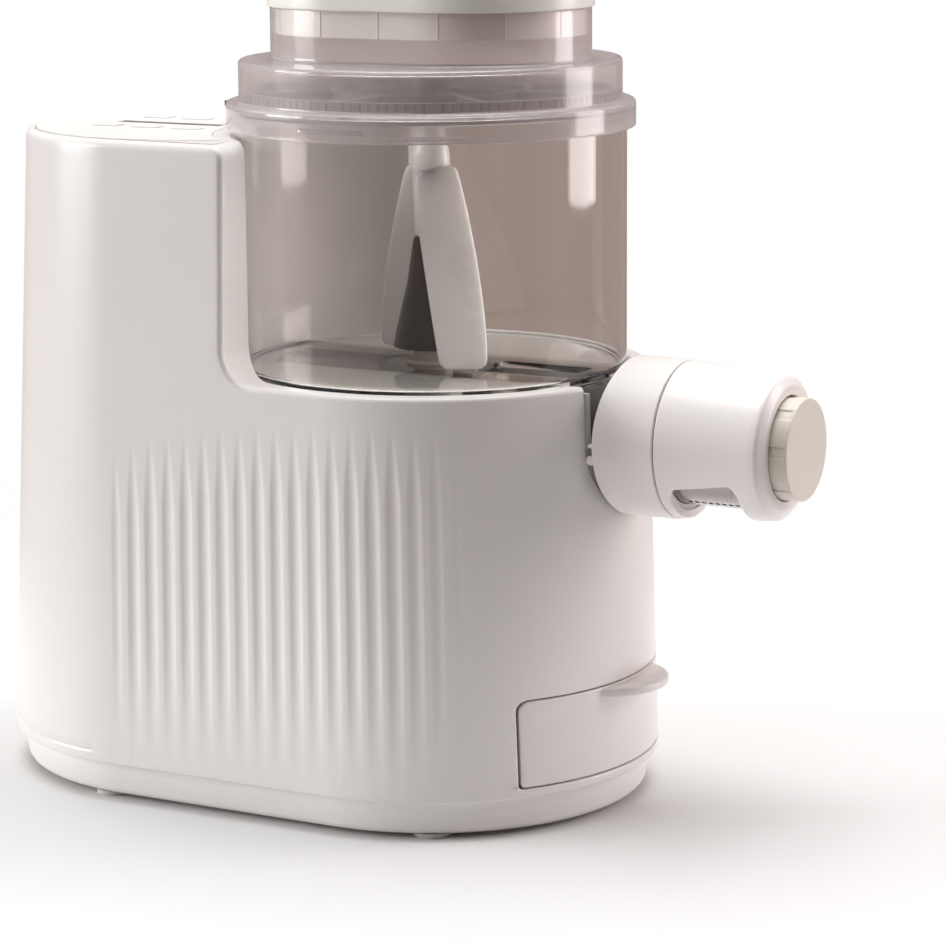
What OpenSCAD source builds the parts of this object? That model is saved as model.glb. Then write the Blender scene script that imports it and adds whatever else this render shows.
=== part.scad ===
// Countertop pasta maker with a lift-off mixing bowl, a stirrer driven from below,
// and a horizontal auger that presses dough through a downward-facing die.
// Millimetres. +X is the way the dough leaves, +Z is up, and the object is laid out about Y = 0.

/* [Body] */
// Radius of the front end of the body, at its foot
body_front_r = 103; // [99:0.5:106]
// Radius of the back end of the body, at its foot
body_back_r = 103; // [99:0.5:106]
// Radius of the front end, as it would be at the column's height
body_top_r = 95; // [94:0.5:98]
// Radius of the back end, at the top of the column
column_r = 90; // [89:0.5:92]
// Distance from the bowl's axis to the back end's centre, at the foot
body_span = 112.5; // [110:0.5:115]
// The same distance at the top of the column
body_span_top = 111.5; // [109:0.5:113]
// Height of the column's top above the table
body_h = 301; // [297:0.5:305]
// Height where the body starts, above the table
body_foot_z = 18; // [17:0.5:20]
// Thickness of the casing
shell_t = 3; // [2.4:0.1:3.4]
// Rounding of the column's top edge
top_round = 4; // [3:0.5:6]
// Height of the rim round the bowl
rim_z = 196.5; // [195:0.5:198]
// Depth of the bowl's seat below the rim
seat_depth = 3; // [2:0.1:4]
// How far the column's front face stands behind the bowl's axis
column_back = 53; // [48:0.5:56]
// Fillet where the column meets the rim
column_fillet = 15; // [8:0.5:20]
// Rounding at the head of the column's front face
column_nose = 7; // [4:0.5:10]
// Clearance of parts that lie in one another without moving
fit_gap = 0.3; // [0.2:0.05:0.4]
// Radial clearance of parts that turn in one another
run_gap = 0.05; // [0.03:0.01:0.08]

/* [Base tray and feet] */
// Underside of the tray above the table
tray_z = 2; // [1.5:0.25:4]
// Thickness of the tray
tray_t = 3; // [2.4:0.1:3.4]
// Inset of the tray behind the body's foot
tray_inset = 3.6; // [3.5:0.1:4.5]
// Height of the tray's edge inside the body
tray_lip = 4; // [3:0.5:5]
// Radius of a foot
foot_r = 8.5; // [6:0.5:10]
// Number of air slots in the tray
tray_slots = 7; // [3:1:9]

/* [Top panel] */
// Inset of the control panel from the column's edge
panel_inset = 4.5; // [4.5:0.25:6]
// Ledge of the control panel under the casing
panel_ledge = 1; // [0.6:0.1:1.2]
// Length of the display window
display_l = 56; // [44:1:60]
// Width of the display window
display_w = 7; // [5:0.5:9]
// Distance of the display window from the middle plane
display_y = 14; // [12:0.5:16]
// Length of a key
key_l = 13; // [9:0.5:15]
// Width of a key
key_w = 8; // [6:0.5:9]
// How far a key stands above the panel
key_proud = 0.4; // [0.3:0.1:1]
// Travel of a key
key_travel = 0.8; // [0.5:0.1:1]
// Distance of a row of keys from the display window
key_row = 20; // [18:0.5:24]
// Distance between neighbouring keys of a row
key_pitch = 22; // [18:0.5:24]
// Height of the lid lock above the panel
lock_h = 10.5; // [9:0.5:12.5]
// Distance of the lid lock from the bowl's axis
lock_x = 107; // [104:0.5:110]

/* [Bowl] */
// Outer radius of the bowl
bowl_r = 88; // [86:0.5:89]
// Wall of the bowl
bowl_t = 2.5; // [2:0.1:3]
// Floor of the bowl
bowl_floor = 3; // [2.5:0.1:4]
// Clearance between the bowl and its seat in the body
bowl_gap = 2; // [1:0.25:3]
// How far the bowl's upper edge stands above the column's top
bowl_rise = 11; // [10.5:0.25:11.5]
// Number of bayonet lugs
lugs = 4; // [3:1:5]
// Angle that one lug covers
lug_angle = 20; // [12:1:22]
// Reach of a lug from its wall
lug_reach = 1.6; // [1.2:0.1:1.7]

/* [Lid] */
// Outer radius of the lid's skirt
skirt_r = 92; // [91.8:0.1:93]
// Wall of the lid
lid_t = 2; // [1.6:0.1:2.2]
// How far the lid's skirt hangs below the bowl's upper edge
skirt_drop = 8; // [6.5:0.25:8.5]
// Height of the step between skirt and drum above the bowl's upper edge
step_rise = 4; // [3.5:0.25:5]
// Outer radius of the lid's drum
drum_r = 86; // [84:0.5:87]
// Height of the lid's drum above the step
drum_h = 18.5; // [14:0.5:22]
// Half length of the feed chimney
chimney_half_l = 74.5; // [68:0.5:78]
// Half width of the feed chimney
chimney_half_w = 54; // [48:0.5:60]
// Height of the feed chimney above the drum
chimney_h = 23; // [18:0.5:26]
// Height of the cap above the chimney
cap_h = 8.5; // [6:0.5:10]
// Overhang of the cap round the chimney
cap_over = 1.3; // [0.8:0.1:2]
// Depth of the cap's skirt in the chimney
cap_skirt = 12; // [8:0.5:14]

/* [Extruder] */
// Height of the auger's axis above the table
auger_z = 171; // [170:0.25:172]
// Outer radius of the barrel
barrel_r = 25; // [24:0.25:26]
// Bore radius of the barrel
bore_r = 20.5; // [19.5:0.1:21]
// How far the barrel reaches into the head
barrel_reach = 14.5; // [12:0.5:16.5]
// Back end of the barrel behind the bowl's axis
barrel_back = 75; // [74:0.25:76]
// Clearance between the auger and the barrel
auger_gap = 0.7; // [0.4:0.1:1]
// Pitch of the auger's flight
auger_pitch = 34; // [28:1:40]
// Radius of the auger's shaft
shaft_r = 5; // [4.5:0.1:5.5]
// Length of the feed opening in the bowl's floor
feed_l = 46; // [36:1:50]
// Width of the feed opening
feed_w = 30; // [24:1:34]
// Outer radius of the head's collar
collar_r = 35.3; // [34.5:0.1:36]
// Gap between the collar and the casing
collar_gap = 1.8; // [1.3:0.1:2.3]
// Radius of the curve that the collar's back edge follows round the casing
collar_wrap_r = 160; // [140:5:220]
// Length of the collar
collar_l = 25; // [23:0.5:26.5]
// Radius of the nozzle at its front
nozzle_r = 32; // [31:0.25:33]
// Length of the nozzle
nozzle_l = 49.2; // [47.5:0.1:51.5]
// Length of the opening under the nozzle
outlet_l = 32; // [26:0.5:33]
// Half width of the opening under the nozzle
outlet_half_w = 29.5; // [24:0.5:30]
// Outer radius of the die
die_r = 28; // [27:0.1:28.5]
// Radius of one hole in the die
die_hole_r = 1.2; // [0.8:0.1:1.6]
// Radius of the end knob
knob_r = 22.5; // [21:0.25:23.5]
// How far the end knob stands in front of the nozzle
knob_proud = 8; // [5:0.5:10]
// Number of grip grooves round the end knob
knob_grooves = 8; // [4:1:12]

/* [Drive] */
// Outer radius of the motor
motor_r = 34; // [30:0.5:36]
// Length of the motor
motor_l = 64; // [54:1:70]
// Tooth module of the first gear pair
module_a = 1.5; // [1.4:0.02:1.52]
// Tooth module of the second gear pair
module_b = 2; // [1.9:0.02:2.04]
// Teeth on the motor's pinion
pinion_teeth = 10; // [9:1:11]
// Teeth on the large idler gear
idler_teeth = 38; // [36:1:38]
// Teeth on the small idler gear
idler_small_teeth = 12; // [11:1:13]
// Teeth on the output gear
output_teeth = 48; // [46:1:48]
// Width of a gear's toothed rim
gear_w = 8; // [6:0.5:9]
// Thickness of the two gear plates
plate_t = 3; // [2.5:0.25:4]
// Distance of the front gear plate behind the bowl's axis
plate_x = 95; // [94.5:0.25:96]
// Clear width between the gear plates
plate_gap = 27; // [26:0.5:30]
// Half width of the gear plates
plate_half_w = 60; // [56:1:64]
// Tooth module of the crown gear pair under the bowl
module_c = 1.7; // [1.6:0.02:1.74]
// Teeth on the crown gear
crown_teeth = 20; // [18:2:22]
// Teeth on the auger's own pinion
worm_teeth = 10; // [9:1:11]

/* [Drawer] */
// Half width of the drawer's front
drawer_half_w = 66; // [58:0.5:68]
// Lower edge of the drawer's front above the table
drawer_z = 22.5; // [22:0.25:24]
// Height of the drawer's front
drawer_h = 38.5; // [34:0.5:42]
// Depth of the drawer's tray behind its front
drawer_l = 84; // [60:1:90]
// Half width of the pull lip
lip_half_w = 27; // [20:0.5:32]
// Reach of the pull lip
lip_reach = 14; // [8:0.5:16]
// Gap round the drawer's front
drawer_gap = 0.6; // [0.4:0.05:1]

/* [Hidden] */
$fn = 96;
overlap = 0.5;   // how far joined solids run into one another
far = 400;       // longer than the object
// The head starts in front of the casing, and each piece of it follows the one behind
collar_back = front_r(auger_z - collar_r) + collar_gap;
collar_front = collar_back + collar_l;
hood_back = collar_front + fit_gap;
outlet_back = hood_back + 4.5;
// How far the collar's back edge runs back beside the casing's curve
collar_wrap = collar_wrap_r - sqrt(collar_wrap_r * collar_wrap_r - collar_r * collar_r);
barrel_front = collar_back + barrel_reach;
nozzle_front = hood_back + nozzle_l;
// Overall lengths and the place of the bowl's axis, so that the box is centred on the origin
knob_face = nozzle_front + knob_proud;
back_reach = body_span + body_back_r;
bowl_x = (back_reach - knob_face) / 2;
// Casing
seat_z = rim_z - seat_depth;
seat_r = bowl_r + bowl_gap;
trough_r = barrel_r + 3;
trough_t = 2.5;
slot_half_w = trough_r + trough_t + 0.5;
trough_back = plate_x - fit_gap - 2.7;
panel_top = body_h + 0.2;
tray_floor = tray_z + tray_t;
// Keys
near_row = -display_y - key_row;
far_row = -display_y + key_row + 3;
panel_mid = 130;
switch_gap = 0.25;
switch_h = 5;
lock_travel = 2;
board_t = 1.6;
board_l = 68;
board_w = 102;
drive_board_w = 88;
board_z = panel_top - 16;
board_top = board_z + board_t;
panel_under = body_h - shell_t - fit_gap;
ledge_t = 2;
panel_post_at = [[-panel_mid - 30, -50], [-panel_mid + 28, -50], [-panel_mid - 30, 38],
                 [-panel_mid + 28, 38]];
// Places of the case posts and feet, for the +Y side
post_r = 8;
post_top = 60;
function on_front(r, a) = [r * cos(a), r * sin(a)];
function on_back(r, a) = [-body_span + r * cos(a), r * sin(a)];
post_at = [on_front(body_front_r - 11, 77), on_back(body_back_r - 11, 119)];
foot_at = [on_front(body_front_r - 15, 62.5), on_back(body_back_r - 16, 96)];
board_post_at = [[26 - back_reach, 40], [66 - back_reach, 40]];
lip_z = body_foot_z + tray_lip;
screw_r = 1.8;
// Extruder
coupler_gap = 0.4;
tongue_l = 6.5;
tongue_half_h = 9.6;
tongue_half_w = 3;
tongue_back = barrel_back + 2 + tongue_l;
journal_r = tongue_half_h + 0.9;
coupler_r = journal_r + 3.5;
coupler_back = tongue_back + 6;
feed_x = 28;
partition_x = 21;
flight_x = partition_x + 4;
flight_end = barrel_front + 14;
core_r = 9;
die_back = barrel_front + 1;
die_front = nozzle_front - 9;
wall_floor = seat_z + fit_gap;
// Bowl, stirrer and lid
bowl_top = body_h + bowl_rise;
skirt_z = bowl_top - skirt_drop;
step_z = bowl_top + step_rise;
drum_top = step_z + drum_h;
chimney_top = drum_top + chimney_h;
lug_z = bowl_top - 4.5;
spindle_r = 5;
bush_out_r = spindle_r + 4;
bush_top = wall_floor + bowl_floor + 7;
square_w = 8;
sleeve_low = bush_top + fit_gap;
neck_r = 6.2;
shoulder_z = bowl_top - 26;
blade_low = wall_floor + bowl_floor + 1.5;
sleeve_top = shoulder_z - 31.9;
grate_z = step_z + 1;
neck_top = grate_z + 4;
// Crown gear pair
worm_r = module_c * worm_teeth / 2;
crown_r = module_c * crown_teeth / 2;
crown_z = auger_z + worm_r;
pocket_r = crown_r + 5.5;
crown_tooth = 0.34 * PI * module_c;
spindle_low = crown_z + 2.6;
// Gear train
idler_z = auger_z - module_b * (idler_small_teeth + output_teeth) / 2;
motor_z = idler_z - module_a * (pinion_teeth + idler_teeth) / 2;
rear_plate_x = plate_x + plate_t + plate_gap;
output_gear_x = plate_x + plate_t + 3;
idler_gear_x = output_gear_x + gear_w + 4;
plate_z = tray_floor;
plate_top = auger_z + 54;
spacer_at = [[plate_half_w - 10, plate_z + 34], [plate_half_w - 10, plate_top - 20]];
bush_r = shaft_r + 3;
pin_r = 4;
motor_end = -plate_x + motor_l;
motor_shaft_r = 3;
motor_screw_ring = 22;
motor_screw_at = [30, 150, 270];
plate_screw_r = 2;
// Power inlet at the back
inlet_z = 46;
inlet_w = 30;
inlet_h = 22;
inlet_l = 22;
inlet_wall = 3;
// Drawer
drawer_top = drawer_z + drawer_h;
runner_y = 45;
runner_back = 12;
runner_front = sqrt(pow(body_front_r - tray_inset - tray_t - 5, 2) - pow(runner_y + 3, 2));
lip_t = 4;
// The pull lip is a flat arc of a circle through its two ends and its tip
lip_rise = lip_reach + front_r(drawer_top) * (1 - cos(asin(lip_half_w / front_r(drawer_top))));
lip_r = (lip_half_w * lip_half_w + lip_rise * lip_rise) / (2 * lip_rise);

// ---------- helpers ----------
module at_bowl() translate([bowl_x, 0, 0]) children();
function rise(z) = (z - body_foot_z) / (body_h - body_foot_z);
function front_r(z) = body_front_r + (body_top_r - body_front_r) * rise(z);
function back_r(z) = body_back_r + (column_r - body_back_r) * rise(z);
function span(z) = body_span + (body_span_top - body_span) * rise(z);

// A thin slice of the body's outline at height z, pulled in by inset
module slice(z, inset) {
    translate([0, 0, z]) cylinder(r = front_r(z) - inset, h = 0.01);
    translate([-span(z), 0, z]) cylinder(r = back_r(z) - inset, h = 0.01);
}
// The whole body without its bowl seat, from z0 to z1, pulled in by inset
module body_form(inset, z0, z1, edge) {
    mid = (z0 + z1) / 2;
    hull() {
        slice(z0, inset);
        slice(mid, inset);
    }
    hull() {
        slice(mid, inset);
        slice(z1 - edge, inset);
    }
    hull() {
        slice(z1 - edge - 0.01, inset);
        slice(z1 - edge * 0.5, inset + edge * 0.134);
        slice(z1 - edge * 0.134, inset + edge * 0.5);
        slice(z1 - 0.01, inset + edge);
    }
}
// Side view of what is cut away over the rim, moved out by grow
module over_rim(grow) {
    x0 = -column_back - grow;
    z0 = rim_z - grow;
    rotate([90, 0, 0]) translate([0, 0, -far / 2]) linear_extrude(far) difference() {
        union() {
            translate([x0, z0]) square([far, far]);
            translate([x0 - column_nose, body_h - column_nose]) square([column_nose + 1, far]);
        }
        difference() {
            translate([x0 - 1, z0 - 1]) square(column_fillet + 1);
            translate([x0 + column_fillet, z0 + column_fillet]) circle(r = column_fillet);
        }
        translate([x0 - column_nose, body_h - column_nose]) circle(r = column_nose);
    }
}
module bowl_seat(grow) {
    over_rim(grow);
    translate([0, 0, seat_z - grow]) cylinder(r = seat_r + grow, h = far);
}
// Room for the barrel: round below the auger's axis and straight above it
module barrel_way(r, x0, x1) {
    translate([x0, 0, auger_z]) rotate([0, 90, 0]) cylinder(r = r, h = x1 - x0);
    translate([x0, -r, auger_z]) cube([x1 - x0, 2 * r, far]);
}
module x_tube(x0, x1, r, bore = 0, z = auger_z, y = 0) {
    translate([x0, y, z]) rotate([0, 90, 0]) difference() {
        cylinder(r = r, h = x1 - x0);
        if (bore > 0) translate([0, 0, -1]) cylinder(r = bore, h = x1 - x0 + 2);
    }
}
module ring(r, bore, z0, z1) {
    translate([0, 0, z0]) difference() {
        cylinder(r = r, h = z1 - z0);
        translate([0, 0, -1]) cylinder(r = bore, h = z1 - z0 + 2);
    }
}
module stadium(half_l, half_w, h) {
    for (s = [-1, 1]) translate([s * (half_l - half_w), 0, 0]) cylinder(r = half_w, h = h);
    translate([half_w - half_l, -half_w, 0]) cube([2 * (half_l - half_w), 2 * half_w, h]);
}
// Outline of a spur gear; fill is the share of the pitch that a tooth takes
function gear_outline(n, m, fill = 0.40, flank = 20) =
    let (r = m * n / 2, tip = r + 0.85 * m, root = r - 1.15 * m, half = fill * PI * m / 2)
    [for (k = [0 : n - 1], p = [[root, half + 1.15 * m * tan(flank) * 0.7, -1],
                                [tip, half - 0.85 * m * tan(flank), -1],
                                [tip, half - 0.85 * m * tan(flank), 1],
                                [root, half + 1.15 * m * tan(flank) * 0.7, 1]])
        let (a = k * 360 / n + p[2] * p[1] / p[0] * 180 / PI) [p[0] * cos(a), p[0] * sin(a)]];
// A gear on the X axis: a tooth points the way that turn says, 90 being up
module x_gear(x0, w, n, m, turn, bore, z) {
    translate([x0, 0, z]) rotate([90, 0, 90]) difference() {
        linear_extrude(w) rotate(turn) polygon(gear_outline(n, m));
        translate([0, 0, -1]) cylinder(r = bore, h = w + 2);
    }
}
// A screw with a pan head, along -X from its head at the origin
module x_screw(r, head_r, head_h, l) {
    rotate([0, -90, 0]) cylinder(r = head_r, h = head_h);
    rotate([0, 90, 0]) cylinder(r = r, h = l);
}

// ---------- casing ----------
module both_sides(places) for (p = places, s = [-1, 1]) translate([p[0], s * p[1], 0]) children();
// The opening in the column's top, a crescent behind the bowl; grow makes it larger
module panel_opening(grow, z0, h) {
    translate([0, 0, z0]) difference() {
        translate([-span(body_h), 0, 0]) cylinder(r = column_r - panel_inset + grow, h = h);
        translate([0, 0, -1]) cylinder(r = seat_r + 8 - grow, h = h + 2);
    }
}
// The barrel's way through the casing: open upwards in front, and below the seat elsewhere
module casing_slot() {
    x0 = -trough_back - fit_gap;
    intersection() {
        barrel_way(slot_half_w, x0, far);
        union() {
            translate([x0 - 1, -far, 0]) cube([2 * far, 2 * far, seat_z]);
            translate([0, -far, 0]) cube([far, 2 * far, far]);
        }
    }
}
module body_shell() color("#ece7e1") at_bowl() difference() {
    body_form(0, body_foot_z, body_h, top_round);
    bowl_seat(0);
    difference() {
        body_form(shell_t, body_foot_z - 1, body_h - shell_t, 0.6);
        bowl_seat(shell_t);
        both_sides(post_at) translate([0, 0, lip_z + fit_gap]) cylinder(r = post_r, h = post_top - lip_z);
    }
    both_sides(post_at) cylinder(r = screw_r, h = post_top - 20);
    casing_slot();
    panel_opening(0, body_h - shell_t - 1, far);
    translate([20, -drawer_half_w - drawer_gap, drawer_z - drawer_gap])
        cube([far, 2 * (drawer_half_w + drawer_gap), drawer_h + 2 * drawer_gap]);
    inlet_block(fit_gap);
}
key_at = [[-panel_mid - key_pitch, near_row], [-panel_mid, near_row], [-panel_mid + key_pitch, near_row],
          [-panel_mid - key_pitch, far_row], [-panel_mid, far_row]];
module key_block(i, grow, z0, z1) {
    translate([key_at[i][0] - key_l / 2 - grow, key_at[i][1] - key_w / 2 - grow, z0])
        cube([key_l + 2 * grow, key_w + 2 * grow, z1 - z0]);
}
module display_block(grow, z0, z1) {
    translate([-panel_mid - display_l / 2 - grow, -display_y - display_w / 2 - grow, z0])
        cube([display_l + 2 * grow, display_w + 2 * grow, z1 - z0]);
}
module top_panel() color("#f1ede8") at_bowl() {
    difference() {
        union() {
            panel_opening(-fit_gap, panel_under - overlap, panel_top - panel_under + overlap);
            panel_opening(panel_ledge, panel_under - ledge_t, ledge_t);
        }
        display_block(fit_gap, board_top, far);
        for (i = [0 : 4]) key_block(i, fit_gap, board_top, far);
        translate([-lock_x - fit_gap, -4 - fit_gap, board_top])
            cube([5.2 + 2 * fit_gap, 8 + 2 * fit_gap, far]);
    }
    for (p = panel_post_at) translate([p[0], p[1], board_top])
        cylinder(r = 3, h = panel_under - ledge_t - board_top + overlap);
}
module display_window() color("#2b2a2c") at_bowl()
    display_block(0, panel_top - 2, panel_top - 0.1);
module key(i) color("#dcd7d0") at_bowl() {
    stem_low = board_top + switch_h + key_travel + switch_gap;
    key_block(i, 0, panel_top - 4, panel_top + key_proud);
    translate([key_at[i][0] - 2, key_at[i][1] - 2, stem_low])
        cube([4, 4, panel_top - 4 - stem_low + overlap]);
}
module lid_lock() color("#1c1b1c") at_bowl() {
    stem_low = board_top + switch_h + lock_travel + switch_gap;
    translate([-lock_x, -3, stem_low]) cube([2.4, 6, panel_top + lock_h - stem_low]);
    translate([-lock_x, -4, panel_top + lock_h - 2.2]) cube([5.2, 8, 2.2]);
}
module control_board() color("#2f5d3f") at_bowl() {
    translate([-panel_mid - 36, -board_w / 2 - 5, board_z]) cube([board_l, board_w, board_t]);
    for (p = key_at) translate([p[0] - 3, p[1] - 3, board_top - overlap]) cube([6, 6, switch_h + overlap]);
    translate([-lock_x - 1.8, -3, board_top - overlap]) cube([6, 6, switch_h + overlap]);
    display_block(-1, board_top - overlap, panel_top - 2.1);
}

// ---------- base ----------
module tray_form(inset, z0, z1, edge) hull()
    for (c = [[z0, inset + edge + 1.2], [z0 + edge, inset + 1.2], [z1, inset]]) {
        translate([0, 0, c[0]]) cylinder(r = body_front_r - c[1], h = 0.01);
        translate([-body_span, 0, c[0]]) cylinder(r = body_back_r - c[1], h = 0.01);
    }
module base_tray() color("#e6e1da") at_bowl() {
    difference() {
        tray_form(tray_inset, tray_z, lip_z, 1.5);
        difference() {
            tray_form(tray_inset + tray_t, tray_floor, lip_z + 1, 1);
            both_sides(post_at) cylinder(r = post_r - 2, h = lip_z);
        }
        for (k = [0 : tray_slots - 1]) translate([-62 + 9 * k, -30, 0]) cube([4, 60, tray_floor + 1]);
        both_sides(foot_at) cylinder(r = foot_r - 3, h = tray_z + 2);
        both_sides(post_at) cylinder(r = screw_r + 0.3, h = far);
        both_sides(post_at) cylinder(r = 4, h = tray_floor);
    }
    both_sides(board_post_at) translate([0, 0, tray_floor - overlap]) cylinder(r = 3, h = 6);
}
module feet() color("#d9d3cb") at_bowl() both_sides(foot_at) {
    cylinder(r = foot_r, h = tray_z);
    cylinder(r = foot_r - 3, h = tray_z + 2);
}
module case_screws() color("#8d9093") at_bowl() both_sides(post_at) {
    translate([0, 0, tray_floor - 2.2]) cylinder(r = 3.5, h = 2.2);
    translate([0, 0, tray_floor - 1]) cylinder(r = screw_r, h = 29);
}
// The front end of the body as a solid cone, joined to a block behind it
module front_cone(inset) {
    cylinder(r1 = front_r(0) - inset, r2 = front_r(body_h) - inset, h = body_h);
    translate([-far, -far, 0]) cube([far, 2 * far, far]);
}
module cradle() color("#d6d1cb") at_bowl() difference() {
    intersection() {
        barrel_way(trough_r + trough_t, -trough_back, far);
        front_cone(0.5);
        translate([-far, -far, 0]) cube([2 * far, 2 * far, seat_z - fit_gap]);
    }
    barrel_way(trough_r, -trough_back + 2, far);
    x_tube(-far, 0, shaft_r + 1);
}

// ---------- drive ----------
module x_holes(x0, x1, r, z, y = 0) translate([x0, y, z]) rotate([0, 90, 0]) cylinder(r = r, h = x1 - x0);
module motor_screw_holes() for (a = motor_screw_at)
    x_holes(-far, 0, plate_screw_r, motor_z + motor_screw_ring * sin(a), motor_screw_ring * cos(a));
module spacer_holes() for (p = spacer_at, s = [-1, 1]) x_holes(-far, 0, plate_screw_r, p[1], s * p[0]);
module front_gear_plate() color("#b9bcbf") at_bowl() difference() {
    union() {
        translate([-plate_x - plate_t, -plate_half_w, plate_z])
            cube([plate_t, 2 * plate_half_w, plate_top - plate_z]);
        x_tube(-plate_x - 0.5, -plate_x + 2, bush_r + 4);
    }
    x_holes(-far, 0, bush_r, auger_z);
    x_holes(-far, 0, pin_r, idler_z);
    x_holes(-far, 0, 8, motor_z);
    motor_screw_holes();
    spacer_holes();
}
module rear_gear_plate() color("#b9bcbf") at_bowl() difference() {
    union() {
        translate([-rear_plate_x - plate_t, -plate_half_w, plate_z])
            cube([plate_t, 2 * plate_half_w, plate_top - plate_z]);
        x_tube(-rear_plate_x - 0.5, -rear_plate_x + 2, bush_r + 4);
    }
    x_holes(-far, 0, bush_r, auger_z);
    x_holes(-far, 0, pin_r, idler_z);
    spacer_holes();
}
module plate_spacers() color("#a7aaad") at_bowl()
    for (p = spacer_at, s = [-1, 1])
        x_tube(-rear_plate_x, -plate_x - plate_t, 5, plate_screw_r + 0.2, p[1], s * p[0]);
module plate_screws() color("#8d9093") at_bowl()
    for (p = spacer_at, s = [-1, 1]) translate([-rear_plate_x - plate_t, s * p[0], p[1]])
        x_screw(plate_screw_r, 4, 2.5, 2 * plate_t + plate_gap);
module shaft_bushes() color("#b08d57") at_bowl() {
    x_tube(-plate_x - plate_t, -plate_x + 2, bush_r, shaft_r + run_gap);
    x_tube(-rear_plate_x - plate_t, -rear_plate_x + 2, bush_r, shaft_r + run_gap);
}
module motor_can() color("#6f7479") at_bowl() difference() {
    x_tube(-plate_x, motor_end - 4, motor_r, z = motor_z);
    x_tube(-plate_x + 2.5, far, motor_r - 2, z = motor_z);
    x_holes(-far, 0, motor_shaft_r + run_gap, motor_z);
    motor_screw_holes();
}
module motor_end_cap() color("#5d6166") at_bowl() difference() {
    x_tube(motor_end - 4, motor_end, motor_r, z = motor_z);
    x_holes(-far, far, motor_shaft_r + run_gap, motor_z);
    for (k = [0 : 5]) x_holes(-far, far, 4, motor_z + 20 * sin(60 * k), 20 * cos(60 * k));
}
module motor_screws() color("#8d9093") at_bowl()
    for (a = motor_screw_at)
        translate([-plate_x - plate_t, motor_screw_ring * cos(a), motor_z + motor_screw_ring * sin(a)])
            x_screw(plate_screw_r, 3.6, 2.2, plate_t + 2.5);
module rotor() color("#9aa0a6") at_bowl() {
    x_tube(-rear_plate_x + 2.5, motor_end + 14, motor_shaft_r, z = motor_z);
    x_tube(-plate_x + 12, motor_end - 14, motor_r - 10, z = motor_z);
}
module cooling_fan() color("#3c3f44") at_bowl() {
    fan_x = motor_end + 4;
    x_tube(fan_x, fan_x + 8, 9, motor_shaft_r, z = motor_z);
    for (k = [0 : 6]) translate([fan_x + 1, 0, motor_z]) rotate([360 / 7 * k, 0, 0])
        translate([0, 7, 0]) difference() {
            cube([6, 22, 1.6]);
            translate([-1, 21, -1]) rotate([0, 0, 45]) cube([12, 12, 4]);
        }
}
module motor_pinion() color("#c9c2b0") at_bowl()
    x_gear(-idler_gear_x - gear_w - 1, gear_w + 2, pinion_teeth, module_a, 90, motor_shaft_r, motor_z);
module idler_pin() color("#9aa0a6") at_bowl()
    x_tube(-rear_plate_x - plate_t, -plate_x - 0.5, pin_r, z = idler_z);
module idler_gear() color("#e4dccb") at_bowl() {
    bore = pin_r + run_gap;
    x_gear(-idler_gear_x - gear_w, gear_w, idler_teeth, module_a, -90 + 180 / idler_teeth, bore, idler_z);
    x_gear(-idler_gear_x - overlap, idler_gear_x + overlap - output_gear_x + 1, idler_small_teeth,
           module_b, 90, bore, idler_z);
}
module output_gear() color("#e4dccb") at_bowl()
    difference() {
        x_gear(-output_gear_x - gear_w, gear_w, output_teeth, module_b, -90 + 180 / output_teeth, shaft_r,
               auger_z);
        for (k = [0 : 5]) x_holes(-far, 0, 9, auger_z + 29 * sin(60 * k), 29 * cos(60 * k));
    }
module output_shaft() color("#9aa0a6") at_bowl() {
    x_tube(-rear_plate_x - plate_t - 1, -coupler_back + 4.5, shaft_r);
    x_tube(-output_gear_x, -plate_x - plate_t - 0.2, shaft_r + 2.5, shaft_r - 0.4);
}
module auger_coupler() color("#44474b") at_bowl() difference() {
    x_tube(-coupler_back, -barrel_back - 2, coupler_r);
    x_holes(-coupler_back - 1, -coupler_back + 4.5, shaft_r, auger_z);
    translate([-tongue_back - coupler_gap, -tongue_half_w - coupler_gap, auger_z - far / 2])
        cube([tongue_l + 2, 2 * (tongue_half_w + coupler_gap), far]);
}
module drive_board() color("#2f5d3f") at_bowl() {
    low = tray_floor + 6 - overlap;
    translate([22 - back_reach, -drive_board_w / 2, low]) cube([50, drive_board_w, board_t]);
    translate([31 - back_reach, -30, low + board_t - overlap]) cube([22, 26, 18]);
    translate([41 - back_reach, 18, low + board_t - overlap]) cylinder(r = 9, h = 24);
}
// Power inlet at the back, as wide as its socket plus walls
module inlet_block(grow) {
    translate([-back_reach + 2.2, -inlet_w / 2 - grow, inlet_z - inlet_h / 2 - grow])
        cube([inlet_l + grow, inlet_w + 2 * grow, inlet_h + 2 * grow]);
    if (grow > 0) translate([-back_reach - 5, -inlet_w / 2 - grow, inlet_z - inlet_h / 2 - grow])
        cube([inlet_l, inlet_w + 2 * grow, inlet_h + 2 * grow]);
}
module power_inlet() color("#232324") at_bowl() difference() {
    inlet_block(0);
    translate([-back_reach, inlet_wall - inlet_w / 2, inlet_z - inlet_h / 2 + inlet_wall])
        cube([inlet_l - 4, inlet_w - 2 * inlet_wall, inlet_h - 2 * inlet_wall]);
    pin_blades();
}
module pin_blades()
    for (y = [-6, 0, 6]) translate([-back_reach + 9, y - 1, inlet_z - 2.5 + (y == 0 ? 3 : -1)])
        cube([inlet_l - 2, 2, 4]);
module inlet_pins() color("#c9b779") at_bowl() pin_blades();

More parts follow.
